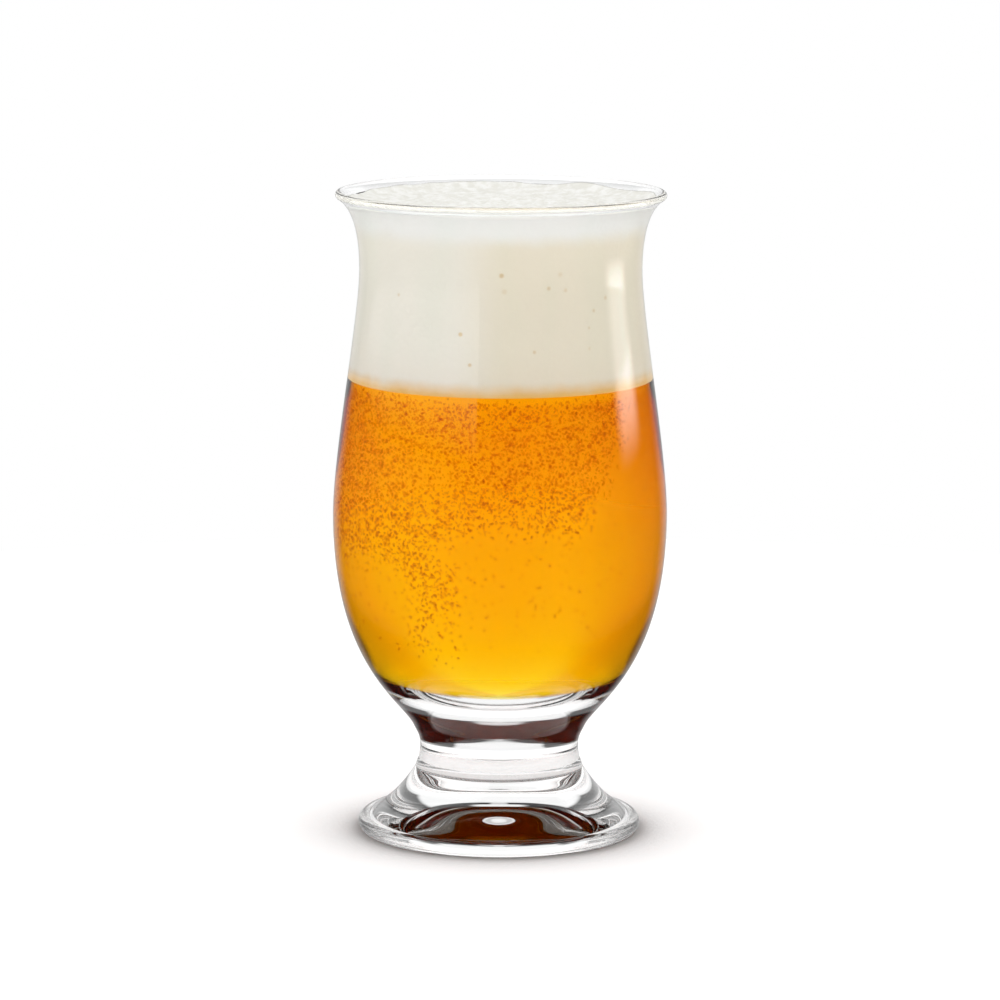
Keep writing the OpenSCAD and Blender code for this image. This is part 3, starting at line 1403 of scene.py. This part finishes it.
@dataclass(frozen=True)
class Patch:
    """Soft patch on the beer's side where bubbles are denser or thinner.

    Attributes:
        azimuth: Degrees of its middle from the camera's side, positive to the right.
        height: Of its middle, above the floor.
        width: Degrees from its middle at which it has faded to about a third.
        rise: Distance up or down at which it has faded so.
        share: Its strength in the middle.
    """

    azimuth: float
    height: float
    width: float
    rise: float
    share: float

    def at(self, azimuth: np.ndarray, height: np.ndarray) -> np.ndarray:
        """Strength at each place: share times exp(-a^2 - h^2), with a counted in widths and h in rises.

        Args:
            azimuth: Degrees from the camera's side.
            height: Above the floor.

        Returns:
            The strengths.
        """
        aside = (azimuth - self.azimuth) / self.width
        above = (height - self.height) / self.rise
        return self.share * np.exp(-(aside**2) - above**2)


@dataclass(frozen=True)
class Bubbles:
    """Fine bubbles that rise in the beer, most of them close to the wall.

    Azimuths are in degrees from the camera's side, positive to the right, and heights are above the floor.

    Attributes:
        shape: The glass.
        top_z: Height of the beer.
        seed: Start of the random numbers.
        tries: Places that are tried; the local density decides which stay.
        least: Radius of the smallest bubble.
        most: Radius of the largest bubble.
        size_power: Power of a random number that makes small bubbles commoner.
        stretch: How much longer than wide a bubble can be.
        deepest: Greatest distance from the wall.
        depth_power: Power of a random number that makes places near the wall commoner.
        wall_gap: Least gap to the wall.
        floor_gap: Height over the floor of the bowl where they start.
        head_gap: Depth under the head where they end.
        cloud_foot: Lower end of the cloud, as azimuth and height.
        cloud_rise: Heights over that end between which the cloud grows.
        cloud_right: Right end of the cloud, as height and azimuth.
        cloud_fade: Degrees past that end between which the cloud grows.
        cloud_top: Depths under the head between which the cloud grows.
        thin: Thinner patch in the cloud.
        plume_line: Middle of the plume, as height and azimuth.
        plume_share: How crowded the plume is, as height and share.
        plume_width: Degrees from its middle at which the plume has faded to about a third.
        plume_end: Depth under the head where the plume ends.
        plume_fade: Distances below that end between which the plume grows.
        knot: Denser patch beside the plume.
        few: Share of places that hold a bubble anywhere else.
        few_rise: Heights between which these few grow.
        few_right: Azimuths between which they grow.
        front_to: Degrees to either side between which all these grow.
        back: Share of places that hold a bubble at the back.
        back_rise: Heights between which these grow.
        back_from: Degrees to either side between which they grow.
        back_to: Degrees to either side between which they grow from the far end.
        finish: Their finish.
    """

    shape: GlassShape
    top_z: float
    seed: int = 11
    tries: int = 42000
    least: float = 0.18
    most: float = 0.38
    size_power: float = 1.5
    stretch: float = 1.0
    deepest: float = 5.0
    depth_power: int = 2
    wall_gap: float = 0.15
    floor_gap: float = 4.0
    head_gap: float = 0.6
    cloud_foot: Pairs = ((-90.0, 67.0), (-40.0, 71.0), (0.0, 79.0), (30.0, 73.5))
    cloud_rise: Span = (-3.0, 8.0)
    cloud_right: Pairs = ((75.0, 26.0), (103.8, 54.8))
    cloud_fade: Span = (9.0, -7.0)
    cloud_top: Span = (0.8, 3.0)
    thin: Patch = Patch(-25.0, 91.0, 9.0, 6.0, 0.65)
    plume_line: Pairs = ((49.0, -31.0), (57.0, -27.0), (66.0, -29.0), (77.0, -41.0))
    plume_share: Pairs = ((44.0, 0.0), (50.0, 0.3), (60.0, 0.55), (68.0, 0.9), (80.0, 0.8))
    plume_width: float = 8.0
    plume_end: float = 22.0
    plume_fade: Span = (-4.0, 4.0)
    knot: Patch = Patch(-22.0, 66.0, 5.0, 5.0, 0.8)
    few: float = 0.05
    few_rise: Span = (46.0, 60.0)
    few_right: Span = (60.0, 20.0)
    front_to: Span = (90.0, 80.0)
    back: float = 0.3
    back_rise: Span = (78.0, 95.0)
    back_from: Span = (95.0, 110.0)
    back_to: Span = (142.0, 128.0)
    finish: BubbleSkin = BubbleSkin()

    def density(self, azimuth: np.ndarray, height: np.ndarray) -> np.ndarray:
        """How crowded the bubbles are at each place.

        A broad cloud hangs under the head and reaches lower on the left. A plume rises to it left of the
        middle, with a denser knot on its right. A few bubbles are everywhere else at the front, and some hang
        at the back under the head.

        Args:
            azimuth: Degrees from the camera's side, positive to the right.
            height: Above the floor.

        Returns:
            The share of places that hold a bubble.
        """
        cloud = smooth(height - along(azimuth, self.cloud_foot), *self.cloud_rise)
        cloud *= smooth(azimuth - along(height, self.cloud_right), *self.cloud_fade)
        cloud *= smooth(self.top_z - height, *self.cloud_top)
        cloud *= 1.0 - self.thin.at(azimuth, height)
        aside = (azimuth - along(height, self.plume_line)) / self.plume_width
        plume = along(height, self.plume_share) * np.exp(-(aside**2))
        plume *= smooth(self.top_z - self.plume_end - height, *self.plume_fade)
        few = self.few * smooth(height, *self.few_rise) * smooth(azimuth, *self.few_right)
        either_side = np.abs(azimuth)
        back = self.back * smooth(either_side, *self.back_from) * smooth(either_side, *self.back_to)
        back *= smooth(height, *self.back_rise)
        ahead = (cloud + plume + self.knot.at(azimuth, height) + few) * smooth(either_side, *self.front_to)
        return np.clip(ahead + back, 0.0, 1.0)

    def ball(self) -> tuple[np.ndarray, np.ndarray]:
        """Unit ball of 12 corners and 20 faces: two rings of five, turned by half a step, and two poles.

        A ring's corners stand 1 / sqrt(5) above or below the middle, and 2 / sqrt(5) from the axis.

        Returns:
            The corners, and the faces as rows of corner numbers.
        """
        upper = np.arange(5)
        ahead = (upper + 1) % 5
        lower = upper + 5
        turn = np.concatenate([upper, upper + 0.5]) * math.tau / 5.0
        across = 2.0 * np.stack([np.cos(turn), np.sin(turn)], axis=1) / math.sqrt(5.0)
        level = np.repeat([1.0, -1.0], 5) / math.sqrt(5.0)
        top = np.full(5, 10)
        end = np.full(5, 11)
        faces = [
            [upper, ahead, top],
            [upper, lower, ahead],
            [lower, lower[ahead], ahead],
            [lower[ahead], lower, end],
        ]
        corners = np.concatenate([np.column_stack([across, level]), [[0.0, 0.0, 1.0], [0.0, 0.0, -1.0]]])
        return corners, np.concatenate([np.stack(face, axis=1) for face in faces])

    def build(self) -> list[bpy.types.Object]:
        """Builds and dresses all bubbles as one piece.

        Returns:
            The piece.
        """
        rng = np.random.default_rng(self.seed)
        azimuth = rng.uniform(-180.0, 180.0, self.tries)
        height = rng.uniform(self.shape.floor_z + self.floor_gap, self.top_z - self.head_gap, self.tries)
        keep = rng.random(self.tries) < self.density(azimuth, height)
        angle, height = np.radians(azimuth[keep]), height[keep]
        size = self.least + (self.most - self.least) * rng.random(len(angle)) ** self.size_power
        inward = self.deepest * rng.random(len(angle)) ** self.depth_power
        radius = self.shape.inner_radius(height) - (size * (1.0 + self.stretch) + self.wall_gap + inward)
        outward = np.stack([np.sin(angle), -np.cos(angle), np.zeros_like(angle)], axis=1)
        sideways = np.stack([np.cos(angle), np.sin(angle), np.zeros_like(angle)], axis=1)
        upward = np.broadcast_to([0.0, 0.0, 1.0], outward.shape)
        turn = rng.uniform(0.0, math.pi, len(angle))[:, None]
        long_way = np.cos(turn) * sideways + np.sin(turn) * upward
        short_way = np.cos(turn) * upward - np.sin(turn) * sideways
        longer = (1.0 + self.stretch * rng.random(len(angle)))[:, None]
        axes = np.stack([longer * long_way, short_way, outward], axis=1) * size[:, None, None]
        ball, faces = self.ball()
        middles = radius[:, None] * outward + height[:, None] * upward
        points = middles[:, None] + np.einsum("vk,nkc->nvc", ball, axes)
        corners = faces[None] + (np.arange(len(angle)) * len(ball))[:, None, None]
        mesh = bpy.data.meshes.new("beer_bubbles")
        mesh.from_pydata((points.reshape(-1, 3) * MM).tolist(), [], corners.reshape(-1, 3).tolist())
        mesh.polygons.foreach_set("use_smooth", np.ones(len(mesh.polygons), dtype=bool))
        mesh.materials.append(self.finish.material())
        mesh.update()
        return [new_piece(mesh)]


@dataclass(frozen=True)
class FoamLumps:
    """Low lumps on top of the foam, set as seeds stand in a sunflower, each a little astray.

    Attributes:
        gap: Distance between neighbours.
        height: Height of the tallest.
        low_share: Radius of a lump, as a share of the gap.
        pack_share: Spread of the spiral, as a share of the gap.
        stray_share: How far a lump stands astray, as a share of the gap.
        usual_share: Usual height, as a share of the tallest.
    """

    gap: float = 5.8
    height: float = 0.7
    low_share: float = 0.46
    pack_share: float = 0.57
    stray_share: float = 0.08
    usual_share: float = 0.7

    def at(self, x: np.ndarray, y: np.ndarray, reach: float) -> np.ndarray:
        """Height that the lumps add at each place.

        Lump i stands at the angle i times the golden angle and at the distance of the spread times the root
        of i. Its height falls from its middle as (1 - d^2)^2, where d is the distance as a share of its
        radius.

        Args:
            x: Places along X.
            y: Places along Y.
            reach: Radius of the flat top that the lumps keep to.

        Returns:
            The heights.
        """
        radius = self.low_share * self.gap
        step = self.pack_share * self.gap
        i = np.arange(1, int(((reach - radius) / step) ** 2) + 1)
        turn = i * math.radians(180.0 * (3.0 - math.sqrt(5.0)))
        stray = self.stray_share * self.gap
        square, cube = np.radians(i.astype(float) ** 2), np.radians(i.astype(float) ** 3)
        middle_x = step * np.sqrt(i) * np.cos(turn) + stray * np.sin(square)
        middle_y = step * np.sqrt(i) * np.sin(turn) + stray * np.cos(square)
        height = self.height * (self.usual_share + (1.0 - self.usual_share) * np.sin(cube))
        gone = ((x[..., None] - middle_x) ** 2 + (y[..., None] - middle_y) ** 2) / radius**2
        return (height * np.clip(1.0 - gone, 0.0, 1.0) ** 2).sum(axis=-1)


@dataclass(frozen=True)
class FoamHead:
    """The head of foam, which climbs the wall unevenly and has a lumpy top.

    Attributes:
        shape: The glass.
        low_z: Height of its underside.
        climb_z: Height to which it usually climbs the wall.
        climb_h: How far that is above its top.
        climb_fall: Distance from the wall at which the climb has fallen to about a third.
        climb_folds: How often it falls so before it ends.
        wander: How much the climb changes round the wall.
        most_wander: The most that it changes.
        sure_gap: How far under its usual climb the foam is sure to touch the wall all round.
        climb_relief: Pattern of that change.
        climb_r: Radius at which the pattern is read.
        dent: Usual depth of the dents in the underside.
        dent_relief: Pattern of the dents.
        dent_power: Power that says how close to the wall the dents reach.
        bump: Usual size of the finest bumps on the top.
        bump_relief: Pattern of the bumps.
        bump_fall: Distance from the wall at which the bumps have grown by about two thirds.
        film: Gap to the glass.
        segments: Vertices in each ring.
        under_rings: Rings of the underside.
        side_rings: Rings of the side, without those close to its ends.
        top_rings: Rings of the top.
        lumps: The lumps on its top.
        finish: Its finish.
    """

    shape: GlassShape
    low_z: float
    climb_z: float
    climb_h: float = 2.2
    climb_fall: float = 3.0
    climb_folds: float = 3.0
    wander: float = 0.25
    most_wander: float = 0.6
    sure_gap: float = 0.7
    climb_relief: Relief = Relief(5, 6.0, 40.0)
    climb_r: float = 34.0
    dent: float = 0.25
    dent_relief: Relief = Relief(6, 3.0, 9.0)
    dent_power: int = 8
    bump: float = 0.1
    bump_relief: Relief = Relief(7, 1.2, 4.0)
    bump_fall: float = 1.2
    film: float = 0.03
    segments: int = 384
    under_rings: int = 23
    side_rings: int = 70
    top_rings: int = 119
    lumps: FoamLumps = FoamLumps()
    finish: FineFoam = FineFoam()

    @property
    def sure_z(self) -> float:
        """Height up to which the foam touches the wall all round."""
        return self.climb_z - self.sure_gap

    def underside(self, spokes: np.ndarray) -> tuple[np.ndarray, np.ndarray]:
        """Dented underside, from the axis out to the wall.

        Args:
            spokes: Azimuths, as rows [cos p, sin p].

        Returns:
            Radii and heights, ring by ring.
        """
        share = np.linspace(0.0, 1.0, self.under_rings + 2)[1:-1, None]
        foot_r = float(self.shape.inner_radius(np.array(self.low_z))) - self.film
        radii = np.broadcast_to(share * foot_r, (len(share), self.segments))
        dents = np.maximum(self.dent_relief.at(radii * spokes[:, 0], radii * spokes[:, 1]), 0.0)
        return radii, self.low_z + self.dent * dents * (1.0 - share**self.dent_power)

    def side(self, edge_z: np.ndarray) -> tuple[np.ndarray, np.ndarray]:
        """Side along the glass, with its rings close together at both ends, so that its edges are crisp.

        Args:
            edge_z: Height to which it climbs at each azimuth.

        Returns:
            Radii and heights, ring by ring.
        """
        between = np.linspace(0.012, 0.985, self.side_rings)
        share = np.concatenate([[0.0, 0.004], between, [0.995, 1.0]])[:, None]
        heights = self.low_z + share * (edge_z - self.low_z)
        return self.shape.inner_radius(heights) - self.film, heights

    def top(self, spokes: np.ndarray, edge_z: np.ndarray) -> tuple[np.ndarray, np.ndarray]:
        """Top, from the wall in to the axis.

        The climb falls with the distance d from the wall as exp(-d / f), less what is left of that where the
        climb ends. The lumps and the fine bumps are added to it.

        Args:
            spokes: Azimuths, as rows [cos p, sin p].
            edge_z: Height to which the foam climbs at each azimuth.

        Returns:
            Radii and heights, ring by ring.
        """
        high_z = self.climb_z - self.climb_h
        edge_r = self.shape.inner_radius(edge_z) - self.film
        radii = np.linspace(1.0, 0.0, self.top_rings + 2)[1:-1, None] * edge_r
        from_wall = edge_r - radii
        x, y = radii * spokes[:, 0], radii * spokes[:, 1]
        rest = math.exp(-self.climb_folds)
        left = (np.exp(-from_wall / self.climb_fall) - rest) / (1.0 - rest)
        heights = high_z + (edge_z - high_z) * np.maximum(left, 0.0)
        heights += self.lumps.at(x, y, float(edge_r.mean()) - self.climb_folds * self.climb_fall)
        grown = 1.0 - np.exp(-((from_wall / self.bump_fall) ** 2))
        heights += self.bump * self.bump_relief.at(x, y) * grown
        return radii, heights

    def build(self) -> list[bpy.types.Object]:
        """Builds and dresses the foam.

        Returns:
            The piece.
        """
        phi = around(self.segments)
        spokes = np.stack([np.cos(phi), np.sin(phi)], axis=1)
        climb = self.climb_relief.at(self.climb_r * spokes[:, 0], self.climb_r * spokes[:, 1])
        edge_z = self.climb_z + np.clip(self.wander * climb, -self.most_wander, self.most_wander)
        parts = (self.underside(spokes), self.side(edge_z), self.top(spokes, edge_z))
        radii = np.concatenate([part[0] for part in parts])
        heights = np.concatenate([part[1] for part in parts])
        rings = np.stack([radii * spokes[:, 0], radii * spokes[:, 1], heights], axis=2)
        mesh = grid_mesh("foam", rings, heights[0].mean(), heights[-1].mean())
        mesh.materials.append(self.finish.material(self.low_z, self.climb_z, self.shape))
        return [new_piece(mesh, ["foam_head"])]


@dataclass(frozen=True)
class PhotoCamera:
    """Camera at the photograph's viewing angle.

    Attributes:
        distance: From the glass's axis, along the floor.
        height: Above the floor.
        pitch: Degrees that it looks down.
        roll: Degrees that it is turned about its line of sight.
        lens: Focal length.
        sensor: Width of the sensor.
    """

    distance: float = 1216.2
    height: float = 278.4
    pitch: float = 9.244
    roll: float = 0.206
    lens: float = 184.71
    sensor: float = 36.0

    def build(self) -> None:
        """Makes the camera and looks through it."""
        data = bpy.data.cameras.new("photo_camera")
        data.lens = self.lens
        data.sensor_width = self.sensor
        camera = bpy.data.objects.new("photo_camera", data)
        tilt = Matrix.Rotation(math.radians(90.0 - self.pitch), 4, "X")
        roll = Matrix.Rotation(math.radians(self.roll), 4, "Z")
        place = Matrix.Translation(Vector((0.0, -self.distance, self.height)) * MM)
        camera.matrix_world = place @ tilt @ roll
        bpy.context.scene.collection.objects.link(camera)
        bpy.context.scene.camera = camera


@dataclass(frozen=True)
class Room:
    """The room round the glass, as the eye, the glass and other surfaces each see it.

    A direction's rise is its upward part, from -1 to 1. Its heading is how far its level part points to the
    back, from -1 to 1. Aside is its part to either side. A brightness of 1 is white.

    Attributes:
        white: Brightness of what is white behind, through glass.
        table: Brightness of the table through glass.
        table_end: Rise between which the table goes over into white.
        table_top: Rise between which that white ends.
        table_front: Share of that brightness that is left at the front.
        table_turn: Heading between which it comes to full strength.
        table_far: Rise between which the front becomes dimmer.
        dim: Brightness of the rest of the room through glass.
        sides: Brightness of the grey sides, towards the front and towards the back.
        sides_turn: Heading between which one goes over into the other.
        sides_front: Share of it that is left straight ahead.
        sides_front_turn: Heading between which the sides come to full strength.
        sides_top: Rise between which the sides end.
        panel_edge: Heading between which the white panel behind starts.
        panel_top: Rise between which it ends.
        lamp_half: Aside between which the lamp over the panel ends.
        lamp_low: Rise between which it starts.
        bar: Brightness of the bright bar below the lamp.
        bar_half: Aside between which the bar ends.
        bar_low: Rise between which it starts.
        lamp_back: Part to the back between which lamp and bar start.
        ambient: Light that falls on open surfaces.
        enclosed: Light that falls through the glass on what stands in it, from the side and from above.
        enclosed_rise: Rise between which one goes over into the other.
        mirrored: Brightness in front and behind, as glass mirrors it.
        mirrored_back: Part to the back between which one goes over into the other.
    """

    white: float = 1.0
    table: float = 1.25
    table_end: Span = (-0.02, 0.06)
    table_top: Span = (0.09, 0.17)
    table_front: float = 0.5
    table_turn: Span = (-0.3, 0.3)
    table_far: Span = (-0.06, 0.05)
    dim: float = 0.06
    sides: Span = (0.5, 0.18)
    sides_turn: Span = (0.5, 0.9)
    sides_front: float = 0.5
    sides_front_turn: Span = (-1.0, -0.3)
    sides_top: Span = (0.36, 0.56)
    panel_edge: Span = (0.88, 0.925)
    panel_top: Span = (0.47, 0.53)
    lamp_half: Span = (0.1, 0.2)
    lamp_low: Span = (0.6, 0.66)
    bar: float = 0.65
    bar_half: Span = (0.025, 0.05)
    bar_low: Span = (0.45, 0.5)
    lamp_back: Span = (0.0, 0.1)
    ambient: float = 1.0
    enclosed: Span = (1.95, 0.5)
    enclosed_rise: Span = (0.3, 0.8)
    mirrored: Span = (0.015, 0.52)
    mirrored_back: Span = (0.75, 0.97)

    def seen_through(self, board: Board, way: Any) -> bpy.types.NodeSocket:
        """Brightness of the room through glass.

        Behind stands a white panel with a lamp over it. The table is white towards the back, the sides are
        grey and the rest is dim.

        Args:
            board: The world's nodes.
            way: Line of sight, by axis.

        Returns:
            The brightness, where 1 is white.
        """
        x, y, z = (way[axis] for axis in "XYZ")
        level_part = board.math("SQRT", board.math("MULTIPLY_ADD", x, x, board.math("MULTIPLY", y, y)))
        heading = board.math("DIVIDE", y, board.math("MAXIMUM", level_part, 1e-4))
        aside = board.math("ABSOLUTE", x)
        front = board.ramp(z, *self.table_far, 1.0, board.ramp(heading, *self.table_turn, self.table_front))
        flat = board.ramp(z, *self.table_end, self.table, self.white)
        table = board.chain("MULTIPLY", front, flat, board.ramp(z, *self.table_top, 1.0, 0.0))
        grey = board.ramp(heading, *self.sides_turn, *self.sides)
        ahead = board.ramp(heading, *self.sides_front_turn, self.sides_front)
        sides = board.chain("MULTIPLY", grey, ahead, board.ramp(z, *self.sides_top, 1.0, 0.0))
        width = board.ramp(heading, *self.panel_edge, 0.0, self.white)
        panel = board.math("MULTIPLY", width, board.ramp(z, *self.panel_top, 1.0, 0.0))
        half = board.ramp(aside, *self.lamp_half, self.white, 0.0)
        lamp = board.math("MULTIPLY", half, board.ramp(z, *self.lamp_low))
        narrow = board.ramp(aside, *self.bar_half, self.bar, 0.0)
        bar = board.math("MULTIPLY", narrow, board.ramp(z, *self.bar_low))
        lamps = board.math("MULTIPLY", board.math("MAXIMUM", lamp, bar), board.ramp(y, *self.lamp_back))
        return board.chain("MAXIMUM", self.dim, sides, table, panel, lamps)

    def build(self) -> None:
        """Makes the world: white for the eye, and of another brightness in glass, mirrored and as light."""
        world = bpy.data.worlds.new("studio")
        world.use_nodes = True
        bpy.context.scene.world = world
        board = Board(world.node_tree)
        way = board.add("SeparateXYZ", Vector=board.add("TexCoord").outputs["Generated"]).outputs
        rays = board.add("LightPath").outputs
        scattered = board.scattered(rays)
        inside = board.math("MULTIPLY", scattered, rays["Is Transmission Ray"])
        level = self.ambient
        for when, seen in (
            (rays["Is Glossy Ray"], board.ramp(way["Y"], *self.mirrored_back, *self.mirrored)),
            (rays["Is Transmission Ray"], self.seen_through(board, way)),
            (rays["Is Camera Ray"], 1.0),
            (scattered, self.ambient),
            (inside, board.ramp(way["Z"], *self.enclosed_rise, *self.enclosed)),
        ):
            level = board.choose(when, level, seen)
        light = board.add("Background", Color=rgba(WHITE), Strength=level)
        board.feed(board.add("OutputWorld").inputs["Surface"], light.outputs["Background"])


@dataclass(frozen=True)
class Floor:
    """Round pale floor that shows white where no shadow falls, with a painted shadow round what stands on it.

    Attributes:
        radius: Its radius.
        segments: Corners of its rim.
        colour: Its colour.
        fill: Light that the eye adds to it, so that it is white where no shadow falls.
        through: The same, seen through glass.
        enclosed: Further light from it that falls through the glass on what stands in it.
        shade_reach: Distance within which what stands on it dims its glow, as painted shadow.
        shade_power: Power that deepens that painted shadow.
        under_foot: Radii between which the shade starts; inside them the hollow foot lets light in.
    """

    radius: float = 420.0
    segments: int = 96
    colour: Colour = (0.45, 0.44, 0.435)
    fill: float = 0.7
    through: float = 0.8
    enclosed: float = 0.5
    shade_reach: float = 30.0
    shade_power: float = 6.0
    under_foot: Span = (31.0, 32.5)

    def material(self) -> bpy.types.Material:
        """Builds its finish.

        Returns:
            The material.
        """
        material, board, shader = new_material("pale_floor")
        make_glow(shader, self.colour)
        rays = board.add("LightPath").outputs
        reach = self.shade_reach * MM
        # Painted shadow: ambient occlusion dims the floor's glow round what stands on it.
        open_share = board.add("AmbientOcclusion", {"samples": 8}, Distance=reach).outputs["AO"]
        from_axis = board.vector("LENGTH", board.add("TexCoord").outputs["Object"]).outputs["Value"]
        under = board.ramp(from_axis, *in_metres(self.under_foot), 1.0, 0.0)
        lit = board.math("MAXIMUM", board.math("POWER", open_share, self.shade_power), under)
        scattered = board.scattered(rays)
        through = board.math("MULTIPLY_ADD", scattered, self.enclosed, self.through)
        fill = board.math("MULTIPLY", rays["Is Camera Ray"], self.fill)
        fill = board.math("MULTIPLY_ADD", rays["Is Transmission Ray"], through, fill)
        board.feed(shader.inputs["Emission Strength"], board.math("MULTIPLY", lit, fill))
        return material

    def build(self) -> None:
        """Makes the floor, which glass doesn't mirror."""
        phi = around(self.segments)
        rim = np.stack([np.cos(phi), np.sin(phi), np.zeros_like(phi)], axis=1) * self.radius * MM
        mesh = bpy.data.meshes.new("floor")
        mesh.from_pydata(rim.tolist(), [], [list(range(len(rim)))])
        mesh.materials.append(self.material())
        floor = bpy.data.objects.new("floor", mesh)
        floor.visible_glossy = False
        bpy.context.scene.collection.objects.link(floor)


@dataclass(frozen=True)
class Card:
    """Upright glowing card that shows only as a reflection in the glass.

    Attributes:
        name: The card's name.
        start: One lower corner, seen from above.
        end: The other lower corner.
        low: Height of its lower edge, and the height above which it is at full strength.
        fade_in: Share of its width over which it fades in from the start.
        fade_out: Share of its width over which it fades out to the end.
        foot_glow: Its brightness at the foot, where 1 is white.
        glow: Its brightness above that.
        high: The height up to which it is at full strength, and that of its upper edge.
        foot_h: Heights over its full strength between which the foot's brightness goes over into the other.
        columns: Points across.
        rows: Points upright.
    """

    name: str
    start: Span
    end: Span
    low: Span
    fade_in: float
    fade_out: float
    foot_glow: float = 1.0
    glow: float = 1.0
    high: Span = (190.0, 260.0)
    foot_h: Span = (1.0, 7.0)
    columns: int = 25
    rows: int = 121

    def brightness(self, u: np.ndarray, z: np.ndarray) -> np.ndarray:
        """How bright each place is.

        Args:
            u: Share of the width, from the start.
            z: Height.

        Returns:
            The brightness, where 1 is white.
        """
        fade = smooth(u, -1e-3, self.fade_in) * smooth(u, 1.0, 1.0 - self.fade_out)
        fade *= smooth(z, *self.low) * smooth(z, self.high[1], self.high[0])
        at_foot = smooth(z, self.low[1] + self.foot_h[1], self.low[1] + self.foot_h[0])
        return fade * (self.glow + (self.foot_glow - self.glow) * at_foot)

    def build(self) -> None:
        """Makes the card."""
        across, upright = np.linspace(0.0, 1.0, self.columns), np.linspace(0.0, 1.0, self.rows)
        u, v = np.meshgrid(across, upright, indexing="ij")
        x = self.start[0] + u * (self.end[0] - self.start[0])
        y = self.start[1] + u * (self.end[1] - self.start[1])
        z = self.low[0] + v * (self.high[1] - self.low[0])
        points = np.stack([x, y, z], axis=2) * MM
        index = np.arange(u.size).reshape(u.shape)
        quads = np.stack([index[:-1, :-1], index[1:, :-1], index[1:, 1:], index[:-1, 1:]], axis=2)
        mesh = bpy.data.meshes.new(self.name)
        mesh.from_pydata(points.reshape(-1, 3).tolist(), [], quads.reshape(-1, 4).tolist())
        glow = self.brightness(u, z).ravel()
        mesh.attributes.new("glow", "FLOAT", "POINT").data.foreach_set("value", glow)
        material, board, shader = new_material(self.name)
        make_glow(shader, BLACK)
        strength = board.add("Attribute", {"attribute_name": "glow"}).outputs["Fac"]
        board.feed(shader.inputs["Emission Strength"], strength)
        mesh.materials.append(material)
        card = bpy.data.objects.new(self.name, mesh)
        card.visible_camera = False
        card.visible_diffuse = False
        card.visible_transmission = False
        card.visible_shadow = False
        bpy.context.scene.collection.objects.link(card)


@dataclass(frozen=True)
class Studio:
    """White room, pale floor and two glowing cards.

    Attributes:
        room: The room.
        floor: The floor.
        cards: The cards.
    """

    room: Room = Room()
    floor: Floor = Floor()
    cards: tuple[Card, ...] = (
        Card("card_left", (-45.0, -166.0), (-500.0, 384.0), (104.0, 144.0), 0.0, 0.45),
        Card("card_right", (233.0, -20.0), (240.0, 125.0), (87.0, 116.0), 0.3, 0.45, 4.4, 2.0),
    )

    def build(self) -> None:
        """Builds all of it, and lets light be followed far enough through the glass."""
        scene = bpy.context.scene
        scene.view_settings.view_transform = "Standard"
        scene.cycles.max_bounces = 40
        scene.cycles.diffuse_bounces = 12
        scene.cycles.transmission_bounces = 40
        scene.cycles.glossy_bounces = 16
        scene.cycles.transparent_max_bounces = 48
        for part in (self.room, self.floor, *self.cards):
            part.build()


def main() -> None:
    """Builds the glass, what it holds and the studio, and reports each piece."""
    logging.basicConfig(level=logging.INFO, format="%(message)s")
    shape = GlassShape()
    low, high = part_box("foam_head")
    beer_z, climb_z = low.z / MM, high.z / MM
    PhotoCamera().build()
    foam = FoamHead(shape, beer_z, climb_z)
    assemblies = (Glass(shape, beer_z, foam.sure_z), Beer(shape, beer_z), Bubbles(shape, beer_z), foam)
    for assembly in assemblies:
        for piece in assembly.build():
            log.info("%s: %d faces", piece.name, len(piece.data.polygons))
    Studio().build()


if __name__ == "__main__":
    main()
